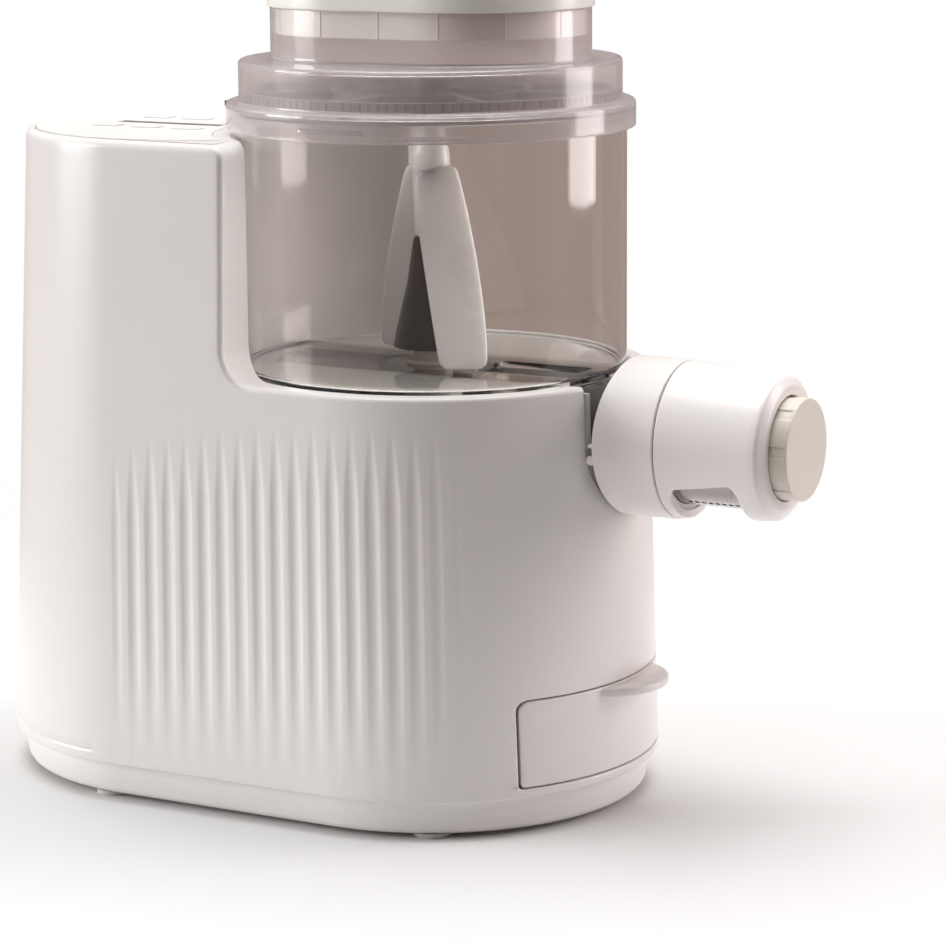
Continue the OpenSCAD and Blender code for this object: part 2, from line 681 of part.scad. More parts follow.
// ---------- drawer ----------
module drawer_block(grow, x0) translate([x0, -drawer_half_w - grow, drawer_z - grow])
    cube([far, 2 * (drawer_half_w + grow), drawer_h + 2 * grow]);
module drawer_front() color("#ece7e1") at_bowl() {
    difference() {
        intersection() {
            front_cone(0.2);
            drawer_block(0, 20);
        }
        front_cone(shell_t);
    }
    intersection() {
        translate([front_r(drawer_top) + lip_reach - lip_r, 0, drawer_top - lip_t - 0.5])
            cylinder(r = lip_r, h = lip_t);
        difference() {
            translate([0, -far, 0]) cube([far, 2 * far, far]);
            front_cone(shell_t - overlap);
        }
    }
}
module drawer_tray() color("#dcd7d0") at_bowl() difference() {
    x1 = front_r(drawer_top) - shell_t;
    intersection() {
        translate([x1 - drawer_l, -runner_y - 5, drawer_z + 1.5])
            cube([far, 2 * runner_y + 10, drawer_h - 6]);
        front_cone(shell_t + 0.05);
    }
    intersection() {
        translate([x1 - drawer_l + 2, -runner_y - 3, drawer_z + 3.5]) cube([far, 2 * runner_y + 6, far]);
        front_cone(shell_t + 3);
    }
}
module drawer_runners() color("#cfc9c1") at_bowl()
    for (s = [-1, 1]) translate([runner_back, s * runner_y - 3, tray_floor])
        cube([runner_front - runner_back, 6, drawer_z + 1.2 - tray_floor]);

// ---------- bowl ----------
module lug_ring(r_in, r_out, z0, z1, start)
    for (k = [0 : lugs - 1]) rotate([0, 0, start + k * 360 / lugs]) intersection() {
        ring(r_out, r_in, z0, z1);
        translate([0, 0, z0]) linear_extrude(z1 - z0)
            polygon([[0, 0], [2 * r_out, -2 * r_out * tan(lug_angle / 2)],
                     [2 * r_out, 2 * r_out * tan(lug_angle / 2)]]);
    }
module feed_cut(z0, z1) translate([feed_x, -feed_w / 2, z0]) cube([feed_l, feed_w, z1 - z0]);
module bowl() color("#8f8782", 0.5) at_bowl() {
    difference() {
        translate([0, 0, wall_floor]) cylinder(r = bowl_r, h = bowl_top - wall_floor);
        translate([0, 0, wall_floor + bowl_floor]) cylinder(r = bowl_r - bowl_t, h = far);
        translate([0, 0, wall_floor - 1]) cylinder(r = bush_out_r, h = 10);
        feed_cut(wall_floor - 1, wall_floor + 10);
    }
    lug_ring(bowl_r - overlap, bowl_r + lug_reach, lug_z, lug_z + 2, 0);
}
module barrel() color("#4a4648") at_bowl() difference() {
    union() {
        x_tube(-barrel_back, barrel_front, barrel_r);
        translate([0, 0, auger_z]) cylinder(r = pocket_r + 3, h = wall_floor - auger_z);
    }
    difference() {
        union() {
            x_tube(-barrel_back + 4, barrel_front + 1, bore_r);
            translate([0, 0, auger_z]) cylinder(r = pocket_r, h = far);
        }
        x_tube(partition_x, partition_x + 3, pocket_r + 3);
    }
    x_tube(-far, 0, journal_r + 3);
    x_tube(0, far, journal_r + 0.3);
    feed_cut(auger_z, far);
    translate([-far, -far, wall_floor]) cube([far + bowl_r + 2, 2 * far, far]);
}
module barrel_bush() color("#e9e6df") at_bowl()
    x_tube(-barrel_back, -barrel_back + 5, journal_r + 3, journal_r + run_gap);
module spindle_bush() color("#d9d5cd") at_bowl() {
    ring(bush_out_r, spindle_r + run_gap, wall_floor, bush_top);
    ring(bush_out_r + 3, bush_out_r - overlap, wall_floor + bowl_floor, wall_floor + bowl_floor + 2);
}
module spindle() color("#b9bcbf") at_bowl() {
    translate([0, 0, spindle_low]) cylinder(r = spindle_r, h = sleeve_low - spindle_low);
    translate([-square_w / 2, -square_w / 2, sleeve_low - fit_gap / 2])
        cube([square_w, square_w, sleeve_top - sleeve_low - 12]);
}
module hub_sleeve() color("#3a3a3d") at_bowl() difference() {
    rotate_extrude() polygon([[0, sleeve_low], [18, sleeve_low], [17, sleeve_low + 6],
        [11.5, (sleeve_low + sleeve_top) / 2 + 4], [8.5, sleeve_top - 1], [7.5, sleeve_top],
        [0, sleeve_top]]);
    translate([-square_w / 2 - 0.1, -square_w / 2 - 0.1, sleeve_low - 1])
        cube([square_w + 0.2, square_w + 0.2, sleeve_top - sleeve_low - 11]);
}
// Crown gear under the bowl: radial teeth that hang down into the auger's pinion
module crown_gear() color("#e4dccb") at_bowl() difference() {
    union() {
        translate([0, 0, crown_z + 2.1]) cylinder(r = crown_r + 3.6, h = 4);
        translate([0, 0, crown_z + 2.1]) cylinder(r = spindle_r + 4, h = wall_floor - crown_z - 2.4);
        intersection() {
            ring(crown_r + 3.6, crown_r - 3.2, crown_z - module_c * 0.75, crown_z + 3);
            for (k = [0 : crown_teeth - 1]) rotate([90, 0, (k + 0.5) * 360 / crown_teeth + 90])
                translate([0, crown_z, -far]) linear_extrude(far)
                    polygon([[-crown_tooth * 0.26, -module_c * 0.75], [crown_tooth * 0.26, -module_c * 0.75],
                             [crown_tooth * 0.75, 3], [-crown_tooth * 0.75, 3]]);
        }
    }
    translate([0, 0, auger_z]) cylinder(r = spindle_r, h = far);
}
// Stirrer: a neck that turns in the lid, a hub tube and two broad, leaning paddles
paddle_rise = shoulder_z - blade_low;
// Each station: share of the paddle's height, distance from the axis, width, thickness
PADDLE = [[0, 38, 21, 2.6], [0.31, 30, 24, 3.2], [0.54, 22, 24.2, 3.6], [0.76, 13.2, 23.4, 4.4],
          [0.97, 5.2, 18.4, 6]];
module paddle_foot(a, p) rotate([0, 0, a]) translate([p[1], 0, blade_low + p[0] * paddle_rise])
    rotate([0, 0, -20]) translate([-p[3] / 2, -p[2] / 2, 0]) cube([p[3], p[2], 2]);
module paddle(a) for (k = [0 : 3]) hull() {
    paddle_foot(a, PADDLE[k]);
    paddle_foot(a, PADDLE[k + 1]);
}
module stirrer() color("#f2f0ec") at_bowl() {
    translate([0, 0, sleeve_top + fit_gap]) cylinder(r = 8, h = shoulder_z - sleeve_top);
    rotate_extrude() polygon([[0, shoulder_z - 6], [8.6, shoulder_z - 6], [8.6, shoulder_z + 2],
        [8.2, shoulder_z + 6], [neck_r, shoulder_z + 14], [neck_r, neck_top], [0, neck_top]]);
    for (a = [-40, 140]) paddle(a);
}

// ---------- lid ----------
module lid_seal() color("#c9c5bf") at_bowl()
    ring(bowl_r + 0.6, bowl_r - bowl_t - 1.6, bowl_top + 0.1, step_z - lid_t - 0.15);
module lid() color("#8a8083", 0.6) at_bowl() {
    ring(skirt_r, skirt_r - lid_t, skirt_z, step_z);
    ring(skirt_r - overlap, drum_r - lid_t, step_z - lid_t, step_z);
    ring(drum_r, drum_r - lid_t, step_z - lid_t, drum_top);
    translate([0, 0, drum_top - lid_t]) difference() {
        cylinder(r = drum_r - overlap, h = lid_t);
        translate([0, 0, -1]) stadium(chimney_half_l - lid_t, chimney_half_w - lid_t, far);
    }
    translate([0, 0, drum_top - lid_t]) difference() {
        stadium(chimney_half_l, chimney_half_w, chimney_top - drum_top + lid_t);
        translate([0, 0, -1]) stadium(chimney_half_l - lid_t, chimney_half_w - lid_t, far);
    }
    lug_ring(skirt_r - lid_t - lug_reach, skirt_r - lid_t + overlap, lug_z - 2.2, lug_z - 0.3, 30);
}
// A guard across the drum that carries the stirrer's upper bearing
module lid_grate() color("#5b5557") at_bowl() {
    ring(neck_r + 4, neck_r + run_gap, grate_z - 12, grate_z + 8);
    ring(drum_r - lid_t, drum_r - lid_t - 3, grate_z, grate_z + 4);
    ring(drum_r / 2 + 2.5, drum_r / 2 - 0.5, grate_z, grate_z + 4);
    for (k = [0 : 7]) rotate([0, 0, 45 * k]) translate([neck_r + 3.5, -1.5, grate_z])
        cube([drum_r - lid_t - neck_r - 5, 3, 4]);
}
module feed_cap() color("#efe9da") at_bowl() {
    out_l = chimney_half_l + cap_over;
    out_w = chimney_half_w + cap_over;
    in_l = chimney_half_l - lid_t - 0.5;
    in_w = chimney_half_w - lid_t - 0.5;
    translate([0, 0, chimney_top + 0.1]) stadium(out_l, out_w, cap_h - 1.5);
    translate([0, 0, chimney_top]) stadium(out_l - 1.5, out_w - 1.5, cap_h);
    translate([0, 0, chimney_top - cap_skirt]) difference() {
        stadium(in_l, in_w, cap_skirt + 0.5);
        translate([0, 0, -1]) stadium(in_l - 2, in_w - 2, cap_skirt + 1);
    }
}

// ---------- extruder head ----------
module head_collar() color("#eae5df") at_bowl() {
    difference() {
        translate([collar_back, 0, auger_z]) rotate([90, 0, 90]) rotate_extrude() polygon([
            [barrel_r + fit_gap, 0], [collar_r - 3, 0], [collar_r - 3, -collar_wrap],
            [collar_r, -collar_wrap], [collar_r, collar_l - 1], [collar_r - 1, collar_l],
            [die_r + fit_gap, collar_l], [die_r + fit_gap, collar_l - 3],
            [collar_r - 3, collar_l - 3], [collar_r - 3, 3], [barrel_r + fit_gap, 3]]);
        translate([collar_back - collar_wrap_r, 0, auger_z - far])
            cylinder(r = collar_wrap_r, h = 2 * far, $fn = 180);
    }
    translate([collar_back - 6.5, -slot_half_w - 1.5, auger_z - 6.5]) rotate([0, 90, 0])
        cylinder(r = 2.1, h = 8);
    translate([collar_back - 6.5, -slot_half_w - 2.5, auger_z - 1]) cube([8, 3, 1.6]);
}
module nozzle_hood() color("#eae5df") at_bowl() {
    l = nozzle_front - hood_back;
    back_r = collar_r - 0.6;
    edge = 4;
    difference() {
        translate([hood_back, 0, auger_z]) rotate([90, 0, 90]) rotate_extrude() polygon([
            [die_r + fit_gap, 0], [back_r - 1, 0], [back_r, 1],
            [nozzle_r + 0.3, l - edge], [nozzle_r - 0.9, l - edge * 0.3], [nozzle_r - edge, l],
            [knob_r + 0.8, l], [knob_r + 0.8, l - 4],
            [nozzle_r - 3, l - 4], [back_r - 3, 3], [die_r + fit_gap, 3]]);
        outlet_cut();
    }
}
// The opening under the nozzle, a rounded rectangle cut straight down
module outlet_cut() {
    r = 4;
    h = 2 * collar_r - 9;
    x0 = outlet_back;
    translate([x0, -outlet_half_w, auger_z - 2 * collar_r]) union() {
        translate([0, r, 0]) cube([outlet_l, 2 * (outlet_half_w - r), h]);
        translate([r, 0, 0]) cube([outlet_l - 2 * r, 2 * outlet_half_w, h]);
        for (x = [r, outlet_l - r], y = [r, 2 * outlet_half_w - r])
            translate([x, y, 0]) cylinder(r = r, h = h);
    }
}
module die() color("#a9a7a4") at_bowl() difference() {
    x_tube(die_back, die_front, die_r);
    x_tube(die_back - 1, die_front - 6, bore_r);
    x_tube(die_front - 7, die_front - 2, shaft_r + run_gap);
    for (i = [0 : 7], j = [-2 : 2]) translate([outlet_back + 4 + 3.2 * i, 0, auger_z]) rotate([14 * j, 0, 0])
        translate([0, 0, -die_r - 1]) cylinder(r = die_hole_r, h = die_r - bore_r + 4);
}
module die_seal() color("#6d3b33") at_bowl()
    x_tube(barrel_front + 0.1, die_back - 0.1, barrel_r - 0.5, bore_r + 0.3);
module end_knob() color("#e0d8cc") at_bowl() {
    x_tube(die_front + fit_gap, nozzle_front - 4 - fit_gap, knob_r + 4);
    x_tube(die_front + 1, knob_face, knob_r - 2);
    translate([die_front + 1, 0, auger_z]) rotate([90, 0, 90])
        linear_extrude(knob_face - 1.5 - die_front - 1) difference() {
            circle(r = knob_r);
            for (k = [0 : knob_grooves - 1]) rotate(-6 + k * 360 / knob_grooves)
                translate([knob_r - 0.6, -2.6]) square([2, 5.2]);
        }
}
module auger_shaft() color("#c4c6c8") at_bowl() {
    translate([-tongue_back, -tongue_half_w, auger_z - tongue_half_h])
        cube([tongue_l + overlap, 2 * tongue_half_w, 2 * tongue_half_h]);
    x_tube(-barrel_back - 2, -barrel_back + 6, journal_r);
    x_tube(-barrel_back - 2, die_front - 3, shaft_r);
}
module auger_screw() color("#efece6") at_bowl() {
    l = flight_end - flight_x;
    r = bore_r - auger_gap;
    x_tube(flight_x, flight_x + 2, r, shaft_r + 0.1);
    difference() {
        translate([flight_x + 1, 0, auger_z]) rotate([90, 0, 90])
            linear_extrude(l - 1, twist = -360 * (l - 1) / auger_pitch, slices = 50, $fn = 24) union() {
                circle(r = core_r);
                intersection() {
                    circle(r = r);
                    polygon([[0, 0], [3 * r, 1.15 * r], [3 * r, -1.15 * r]]);
                }
            }
        x_tube(-far, far, shaft_r + 0.1);
    }
}
module auger_pinion() color("#d8d3c8") at_bowl()
    x_gear(-crown_r - 3, 6, worm_teeth, module_c, 90, shaft_r, auger_z);

body_shell();
top_panel();
display_window();
key(0);  // key_start
key(1);  // key_mode
key(2);  // key_water
key(3);  // key_plus
key(4);  // key_minus
lid_lock();
control_board();
base_tray();
feet();
cradle();
front_gear_plate();
rear_gear_plate();
plate_spacers();
plate_screws();
shaft_bushes();
motor_can();
motor_end_cap();
motor_screws();
rotor();
cooling_fan();
motor_pinion();
idler_pin();
idler_gear();
output_gear();
output_shaft();
auger_coupler();
drive_board();
power_inlet();
inlet_pins();
case_screws();
drawer_runners();
drawer_front();
drawer_tray();
bowl();
barrel();
barrel_bush();
spindle_bush();
spindle();
crown_gear();
hub_sleeve();
stirrer();
lid_seal();
lid();
lid_grate();
feed_cap();
head_collar();
nozzle_hood();
die();
die_seal();
end_knob();
auger_shaft();
auger_screw();
auger_pinion();
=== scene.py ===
# %% [markdown]
# # An electric pasta maker, dressed surface by surface
# The imported model gives every solid its place, in metres, with Z up. This lesson puts a finished
# skin on it: the casing with its flutes, the clear bowl and lid, the stirrer, the head and the
# drawer. Each shape is a formula on a grid of numbers, so nothing is modelled by hand and any
# size can be traced. First the model is loaded.

# %% Load the imported model
import math

import bmesh
import bpy
import numpy as np
from mathutils import Matrix, Vector
from mathutils.geometry import delaunay_2d_cdt


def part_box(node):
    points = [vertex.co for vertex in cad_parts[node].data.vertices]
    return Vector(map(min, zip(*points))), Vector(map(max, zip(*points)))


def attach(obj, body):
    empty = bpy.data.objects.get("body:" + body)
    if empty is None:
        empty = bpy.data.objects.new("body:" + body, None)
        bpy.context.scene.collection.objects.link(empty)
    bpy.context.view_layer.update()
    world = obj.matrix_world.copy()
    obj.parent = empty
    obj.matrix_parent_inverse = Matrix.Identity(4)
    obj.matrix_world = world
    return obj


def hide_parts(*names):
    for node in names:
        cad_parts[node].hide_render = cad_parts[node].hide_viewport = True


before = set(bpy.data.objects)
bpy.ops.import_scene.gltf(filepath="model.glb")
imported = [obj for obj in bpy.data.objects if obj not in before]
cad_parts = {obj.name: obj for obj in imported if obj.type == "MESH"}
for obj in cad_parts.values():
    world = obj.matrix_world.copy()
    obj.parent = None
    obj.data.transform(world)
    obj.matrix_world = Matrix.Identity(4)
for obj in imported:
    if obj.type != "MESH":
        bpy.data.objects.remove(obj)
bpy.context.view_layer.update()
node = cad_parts

# %% [markdown]
# ## Measures that come from the solids
# The bowl's axis is the natural centre line of this machine: the casing, bowl, lid and stirrer
# are all laid out about it. Everything below is written in millimetres from that axis, with Z
# up from the table, and one helper moves it to metres in the model's own frame.

# %% Where the main solids lie
def span_mm(name):
    """The lowest and highest corner of a solid, in mm, measured from the bowl's axis."""
    low, high = (np.array(c) * 1000 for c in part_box(name))
    return low - (axis_x, 0, 0), high - (axis_x, 0, 0)


low, high = (np.array(c) * 1000 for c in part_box("bowl"))
axis_x = float(low[0] + high[0]) / 2
body_low, body_high = span_mm("body_shell")
print("the bowl's axis is at x =", round(axis_x, 2), "mm; the casing stands",
      round(body_high[2] - body_low[2], 1), "mm high")

# %% [markdown]
# ## From arrays to meshes
# Every piece is first a set of arrays: points in mm and the four corners of each face. The
# helper below welds points that coincide, closes up faces that have shrunk to nothing, and turns
# every face outwards. It tests the turn with the signed volume: the sum over the faces of centre
# times area vector is positive when they face away from the middle.

# %% Points and faces into a piece
def grid_faces(rows, columns, wrap_rows=False, wrap_columns=False):
    """Corner numbers of the faces of a rows x columns grid of points, row by row."""
    r = np.arange(rows if wrap_rows else rows - 1)[:, None]
    c = np.arange(columns if wrap_columns else columns - 1)[None, :]
    r2, c2 = (r + 1) % rows, (c + 1) % columns
    quads = np.stack([r * columns + c, r * columns + c2, r2 * columns + c2, r2 * columns + c], -1)
    return quads.reshape(-1, 4).tolist()


def at_height(plan, z):
    """The points of a flat plan (x, y), all lifted to the height z."""
    return np.concatenate([plan, np.full((len(plan), 1), z)], 1)


def unit(vectors):
    """Each vector divided by its own length."""
    return vectors / np.linalg.norm(vectors, axis=-1, keepdims=True)


def along_surface(direction, normal):
    """Unit directions with their share along the normal taken out: d - (d . n) n."""
    return unit(direction - (direction * normal).sum(1, keepdims=True) * normal)


class Skin:
    """Collects patches of points (mm, from the bowl's axis) and faces for one piece."""

    def __init__(self):
        self.points, self.faces, self.count = [], [], 0

    def add(self, points, faces):
        points = np.asarray(points, float).reshape(-1, 3)
        self.faces += [[i + self.count for i in f] for f in faces]
        self.points.append(points)
        self.count += len(points)
        return self

    def grid(self, points, wrap_rows=False, wrap_columns=False):
        rows, columns = points.shape[:2]
        return self.add(points, grid_faces(rows, columns, wrap_rows, wrap_columns))

    def mirrored(self):
        """The same patches and their mirror image in the middle plane Y = 0."""
        both = Skin()
        for p in (np.concatenate(self.points), np.concatenate(self.points) * (1, -1, 1)):
            both.add(p, self.faces)
        return both


WELD = 0.004                                # points closer than this become one, in mm


def piece(name, skin, body, finish, replaces, smooth=50):
    """A finished object from a Skin: welded, turned outwards, ridden, slotted and painted.

    Edges that bend by more than smooth degrees are shaded as sharp.
    """
    points = np.concatenate(skin.points)
    points = (points + (axis_x, 0, 0)) / 1000
    mesh = bpy.data.meshes.new(name)
    mesh.from_pydata(points.tolist(), [], skin.faces)
    bm = bmesh.new()
    bm.from_mesh(mesh)
    bmesh.ops.remove_doubles(bm, verts=bm.verts, dist=WELD / 1000)
    bmesh.ops.dissolve_degenerate(bm, dist=WELD / 2000, edges=bm.edges)
    loose = [v for v in bm.verts if not v.link_faces]
    bmesh.ops.delete(bm, geom=loose, context="VERTS")
    bmesh.ops.recalc_face_normals(bm, faces=bm.faces)
    middle = Vector(points.mean(0))
    volume = sum((f.calc_center_median() - middle).dot(f.normal) * f.calc_area()
                 for f in bm.faces)
    if volume < 0:
        bmesh.ops.reverse_faces(bm, faces=bm.faces)
    bm.to_mesh(mesh)
    bm.free()
    mesh.shade_smooth()
    mesh.set_sharp_from_angle(angle=math.radians(smooth))
    obj = bpy.data.objects.new(name, mesh)
    bpy.context.scene.collection.objects.link(obj)
    mesh.materials.append(finish)
    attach(obj, body)
    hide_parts(*replaces)
    print(f"{name}: {len(mesh.vertices)} points, {len(mesh.polygons)} faces")
    return obj


# %% [markdown]
# ## Turned shapes and rounded corners
# Most of this machine is turned: the bowl, the lid, the head and the knob. A turned shape is an
# outline of (radius, height) carried round an axis. A moulded part has no knife edges, so each
# corner of an outline is first swapped for an arc that touches both of its sides, and a close
# pair of points on each side of the arc keeps the flats flat when the shading is smoothed.

# %% Rounded outlines and turned skins
def rounded(corners, steps=5, closed=True):
    """Outline through (a, b, radius) corners, each corner swapped for an arc.

    At a corner the arc starts radius / tan(half the corner's angle) away along both sides, and
    its points are centre + radius * (cos, sin) between the two touching points.
    """
    c = np.array(corners, float)
    n = len(c)
    out = []
    for i in range(n):
        p, r = c[i, :2], c[i, 2]
        if r <= 0 or (not closed and i in (0, n - 1)):
            out.append(p[None])
            continue
        a, b = c[i - 1, :2] - p, c[(i + 1) % n, :2] - p
        la, lb = np.linalg.norm(a), np.linalg.norm(b)
        a, b = a / la, b / lb
        half = np.arccos(np.clip(a @ b, -1, 1)) / 2
        back = min(r / np.tan(half), 0.49 * la, 0.49 * lb)
        r = back * np.tan(half)
        middle = p + (a + b) / np.linalg.norm(a + b) * r / np.sin(half)
        s, e = p + a * back - middle, p + b * back - middle
        turn = np.arctan2(s[0] * e[1] - s[1] * e[0], s @ e) * np.linspace(0, 1, steps + 1)
        arc = middle + np.stack([s[0] * np.cos(turn) - s[1] * np.sin(turn),
                                 s[0] * np.sin(turn) + s[1] * np.cos(turn)], -1)
        guard = min(0.35 * r + 0.1, 0.3 * (la - back), 0.3 * (lb - back))
        out += [(p + a * (back + guard))[None], arc, (p + b * (back + guard))[None]]
    return np.concatenate(out)


def turned(outline, axis="z", turns=144, height=0.0, wobble=None):
    """Points of an outline (radius, along) turned about the Z axis, or the auger's X axis.

    Point = (radius cos t, radius sin t, along), for t once round. wobble(t, along, radius) is
    added to the radius, for a rim that has grooves.
    """
    t = np.linspace(0, 2 * np.pi, turns, endpoint=False)[:, None]
    r, along = outline[None, :, 0], outline[None, :, 1] + 0 * t
    if wobble is not None:
        r = r + wobble(t, along, r)
    if axis == "z":
        return np.stack([r * np.cos(t), r * np.sin(t), along], -1)
    return np.stack([along, r * np.cos(t), height + r * np.sin(t)], -1)


def within(points, loop):
    """Whether each point lies in a loop.

    It does when a level ray from it crosses the loop an odd number of times.
    """
    odd = np.zeros(len(points), bool)
    for p, q in zip(loop, np.roll(loop, -1, 0)):
        cross = (p[1] > points[:, 1]) != (q[1] > points[:, 1])
        with np.errstate(divide="ignore", invalid="ignore"):
            meets = p[0] + (q[0] - p[0]) * (points[:, 1] - p[1]) / (q[1] - p[1])
            odd ^= cross & (points[:, 0] < meets)
    return odd


CLEAR_OF_RIM = 0.45                         # of the spacing, kept free between rim and grid


def flat_patch(boundary, spacing, holes=(), rows=None):
    """Triangles that fill a closed boundary in the plane, with grid points inside it.

    Points of a grid that lie inside the boundary, outside the holes and clear of both are
    joined with them by a constrained Delaunay triangulation. rows sets the grid's own rows,
    where they shouldn't be evenly spaced.
    """
    loops = [np.asarray(boundary, float)] + [np.asarray(h, float) for h in holes]
    lo, hi = loops[0].min(0), loops[0].max(0)
    step = np.broadcast_to(np.asarray(spacing, float), 2)
    xs = np.arange(lo[0] + step[0] / 2, hi[0], step[0])
    ys = rows if rows is not None else np.arange(lo[1] + step[1] / 2, hi[1], step[1])
    g = np.stack(np.meshgrid(xs, ys), -1).reshape(-1, 2)
    inside = np.ones(len(g), bool)
    for k, loop in enumerate(loops):
        near = np.full(len(g), np.inf)
        for p, q in zip(loop, np.roll(loop, -1, 0)):
            d = q - p
            t = np.clip(((g - p) @ d) / max(d @ d, 1e-12), 0, 1)[:, None]
            near = np.minimum(near, (((g - p - t * d) / step) ** 2).sum(1))
        inside &= (within(g, loop) == (k == 0)) & (near > CLEAR_OF_RIM ** 2)
    points = np.concatenate(loops + [g[inside]])
    edges, start = [], 0
    for loop in loops:
        n = len(loop)
        edges += [(start + i, start + (i + 1) % n) for i in range(n)]
        start += n
    out = delaunay_2d_cdt([Vector(p) for p in points / step], edges, [], 1, 1e-5)
    flat = np.array([list(v) for v in out[0]]) * step
    faces = [list(f) for f in out[2]]
    if holes:
        middles = np.array([flat[f].mean(0) for f in faces])
        keep = np.ones(len(faces), bool)
        for loop in loops[1:]:
            keep &= ~within(middles, loop)
        faces = [f for f, k in zip(faces, keep) if k]
    return flat, faces


def rolled_edge(point, normal, inward, radius, depth, steps=5):
    """A strip that rolls over an edge: a quarter round of the radius, then straight down.

    Centre = point - radius * normal; the arc is centre + radius (cos a normal + sin a inward),
    and its last row goes down against the normal by depth.
    """
    a = np.linspace(0, np.pi / 2, steps + 1)[None, :, None]
    normal, inward = normal[:, None], inward[:, None]
    middle = point[:, None] - radius * normal
    arc = middle + radius * (np.cos(a) * normal + np.sin(a) * inward)
    guard = arc[:, -1:] - 0.25 * radius * normal
    return np.concatenate([arc, guard, arc[:, -1:] - depth * normal], 1)

# %% [markdown]
# ## Finishes
# The casing is an injection-moulded plastic with a satin gloss: a soft highlight, with a very
# fine unevenness that a real mould leaves. Each finish here is a shader with its own colour
# drift, a roughness that varies a little, and a bump far finer than any edge. Smoke-tinted
# parts let light through.

# %% Moulded plastics, metals and rubber
CLOUDS, PATCHES = (9, 3), (35, 4)           # noise scale per metre and detail: colour, gloss
GRAIN_DETAIL, GRAIN_DEPTH = 2, 0.0002       # of the fine bump, its depth in metres
COAT_ROUGH = 0.12


def mixed(tree, low, high, factor):
    """A colour between low and high by the factor."""
    mix = tree.nodes.new("ShaderNodeMix")
    mix.data_type = "RGBA"
    tree.links.new(factor, mix.inputs["Factor"])
    mix.inputs[6].default_value = (*low, 1)
    mix.inputs[7].default_value = (*high, 1)
    return mix.outputs[2]


def noise_of(tree, scale, detail, stretch):
    """Noise about 0.5 on the piece's own coordinates, squeezed along an axis by stretch."""
    place = tree.nodes.new("ShaderNodeTexCoord")
    mapping = tree.nodes.new("ShaderNodeMapping")
    mapping.inputs["Scale"].default_value = stretch
    tree.links.new(place.outputs["Object"], mapping.inputs["Vector"])
    noise = tree.nodes.new("ShaderNodeTexNoise")
    noise.inputs["Scale"].default_value = scale
    noise.inputs["Detail"].default_value = detail
    tree.links.new(mapping.outputs[0], noise.inputs["Vector"])
    return noise.outputs["Fac"]


def ranged(tree, value, low, high):
    """value * (high - low) + low."""
    to = tree.nodes.new("ShaderNodeMath")
    to.operation = "MULTIPLY_ADD"
    to.inputs[1].default_value = high - low
    to.inputs[2].default_value = low
    tree.links.new(value, to.inputs[0])
    return to.outputs[0]


def finish(name, colour, rough=0.35, drift=0.02, grain=900, bump=0.02, metal=0.0, coat=0.0,
           see_through=0.0, ior=1.49, stretch=(1, 1, 1), glow=0.0):
    """A moulded or metal surface: drifting colour, uneven roughness and a fine bump."""
    material = bpy.data.materials.new(name)
    material.use_nodes = True
    tree = material.node_tree
    shader = tree.nodes["Principled BSDF"]
    colour = np.array(colour, float)
    cloud = noise_of(tree, *CLOUDS, stretch)
    tree.links.new(mixed(tree, colour * (1 - drift), np.minimum(colour * (1 + drift), 1), cloud),
                   shader.inputs["Base Color"])
    tree.links.new(ranged(tree, noise_of(tree, *PATCHES, stretch), rough * 0.9, rough * 1.1),
                   shader.inputs["Roughness"])
    if bump:
        dent = tree.nodes.new("ShaderNodeBump")
        dent.inputs["Strength"].default_value = bump
        dent.inputs["Distance"].default_value = GRAIN_DEPTH
        tree.links.new(noise_of(tree, grain, GRAIN_DETAIL, stretch), dent.inputs["Height"])
        tree.links.new(dent.outputs[0], shader.inputs["Normal"])
    shader.inputs["Metallic"].default_value = metal
    shader.inputs["IOR"].default_value = ior
    shader.inputs["Coat Weight"].default_value = coat
    shader.inputs["Coat Roughness"].default_value = COAT_ROUGH
    shader.inputs["Transmission Weight"].default_value = see_through
    if glow:                            # light that enters a thin white part and comes out again
        shader.inputs["Subsurface Weight"].default_value = glow
        shader.inputs["Subsurface Radius"].default_value = (1, 0.95, 0.85)
        shader.inputs["Subsurface Scale"].default_value = 0.006
    return material


casing_paint = finish("satin_casing", (0.825, 0.79, 0.765), rough=0.3, coat=0.15)
panel_paint = finish("satin_panel", (0.88, 0.87, 0.855), rough=0.32, coat=0.1)
# painted light: the tray's colour is lifted above the casing's to make up for the shade on its
# down-facing wall
lit_tray_paint = finish("satin_tray_painted_light", (0.86, 0.825, 0.80), rough=0.38)
# painted light: the head is the casing's own plastic, its colour lifted to stand in for light its
# front faces miss
lit_head_paint = finish("satin_head_painted_light", (0.91, 0.865, 0.84), rough=0.33, coat=0.12)
knob_paint = finish("beige_knob", (0.78, 0.72, 0.645), rough=0.42)
cap_paint = finish("ivory_cap", (0.96, 0.94, 0.88), rough=0.3, coat=0.15)
key_paint = finish("light_key", (0.76, 0.74, 0.72), rough=0.4)
inner_paint = finish("inner_plastic", (0.62, 0.60, 0.58), rough=0.45, bump=0.06)
# partly painted light: a white food plastic whose colour is lifted further to stand in for the
# light that reaches the paddles from behind
white_and_backlight_paint = finish("white_food_plastic_and_backlight", (0.92, 0.91, 0.89), rough=0.28, coat=0.2, glow=0.6)
black_paint = finish("black_plastic", (0.012, 0.012, 0.013), rough=0.35)
dark_paint = finish("dark_plastic", (0.045, 0.042, 0.042), rough=0.4, bump=0.05)
display_glass = finish("display_window", (0.02, 0.02, 0.022), rough=0.08, coat=1.0, bump=0)
foot_rubber = finish("pale_rubber", (0.60, 0.57, 0.54), rough=0.7, bump=0.25, grain=1600)
seal_rubber = finish("seal_silicone", (0.20, 0.18, 0.18), rough=0.5, bump=0.1)
die_rubber = finish("die_silicone", (0.50, 0.47, 0.44), rough=0.55, bump=0.1)
plate_metal = finish("zinc_plate", (0.55, 0.55, 0.56), rough=0.38, metal=1, bump=0.15, grain=500)
shaft_metal = finish("ground_steel", (0.62, 0.62, 0.63), rough=0.22, metal=1, bump=0.1,
                     grain=700, stretch=(6, 1, 1))
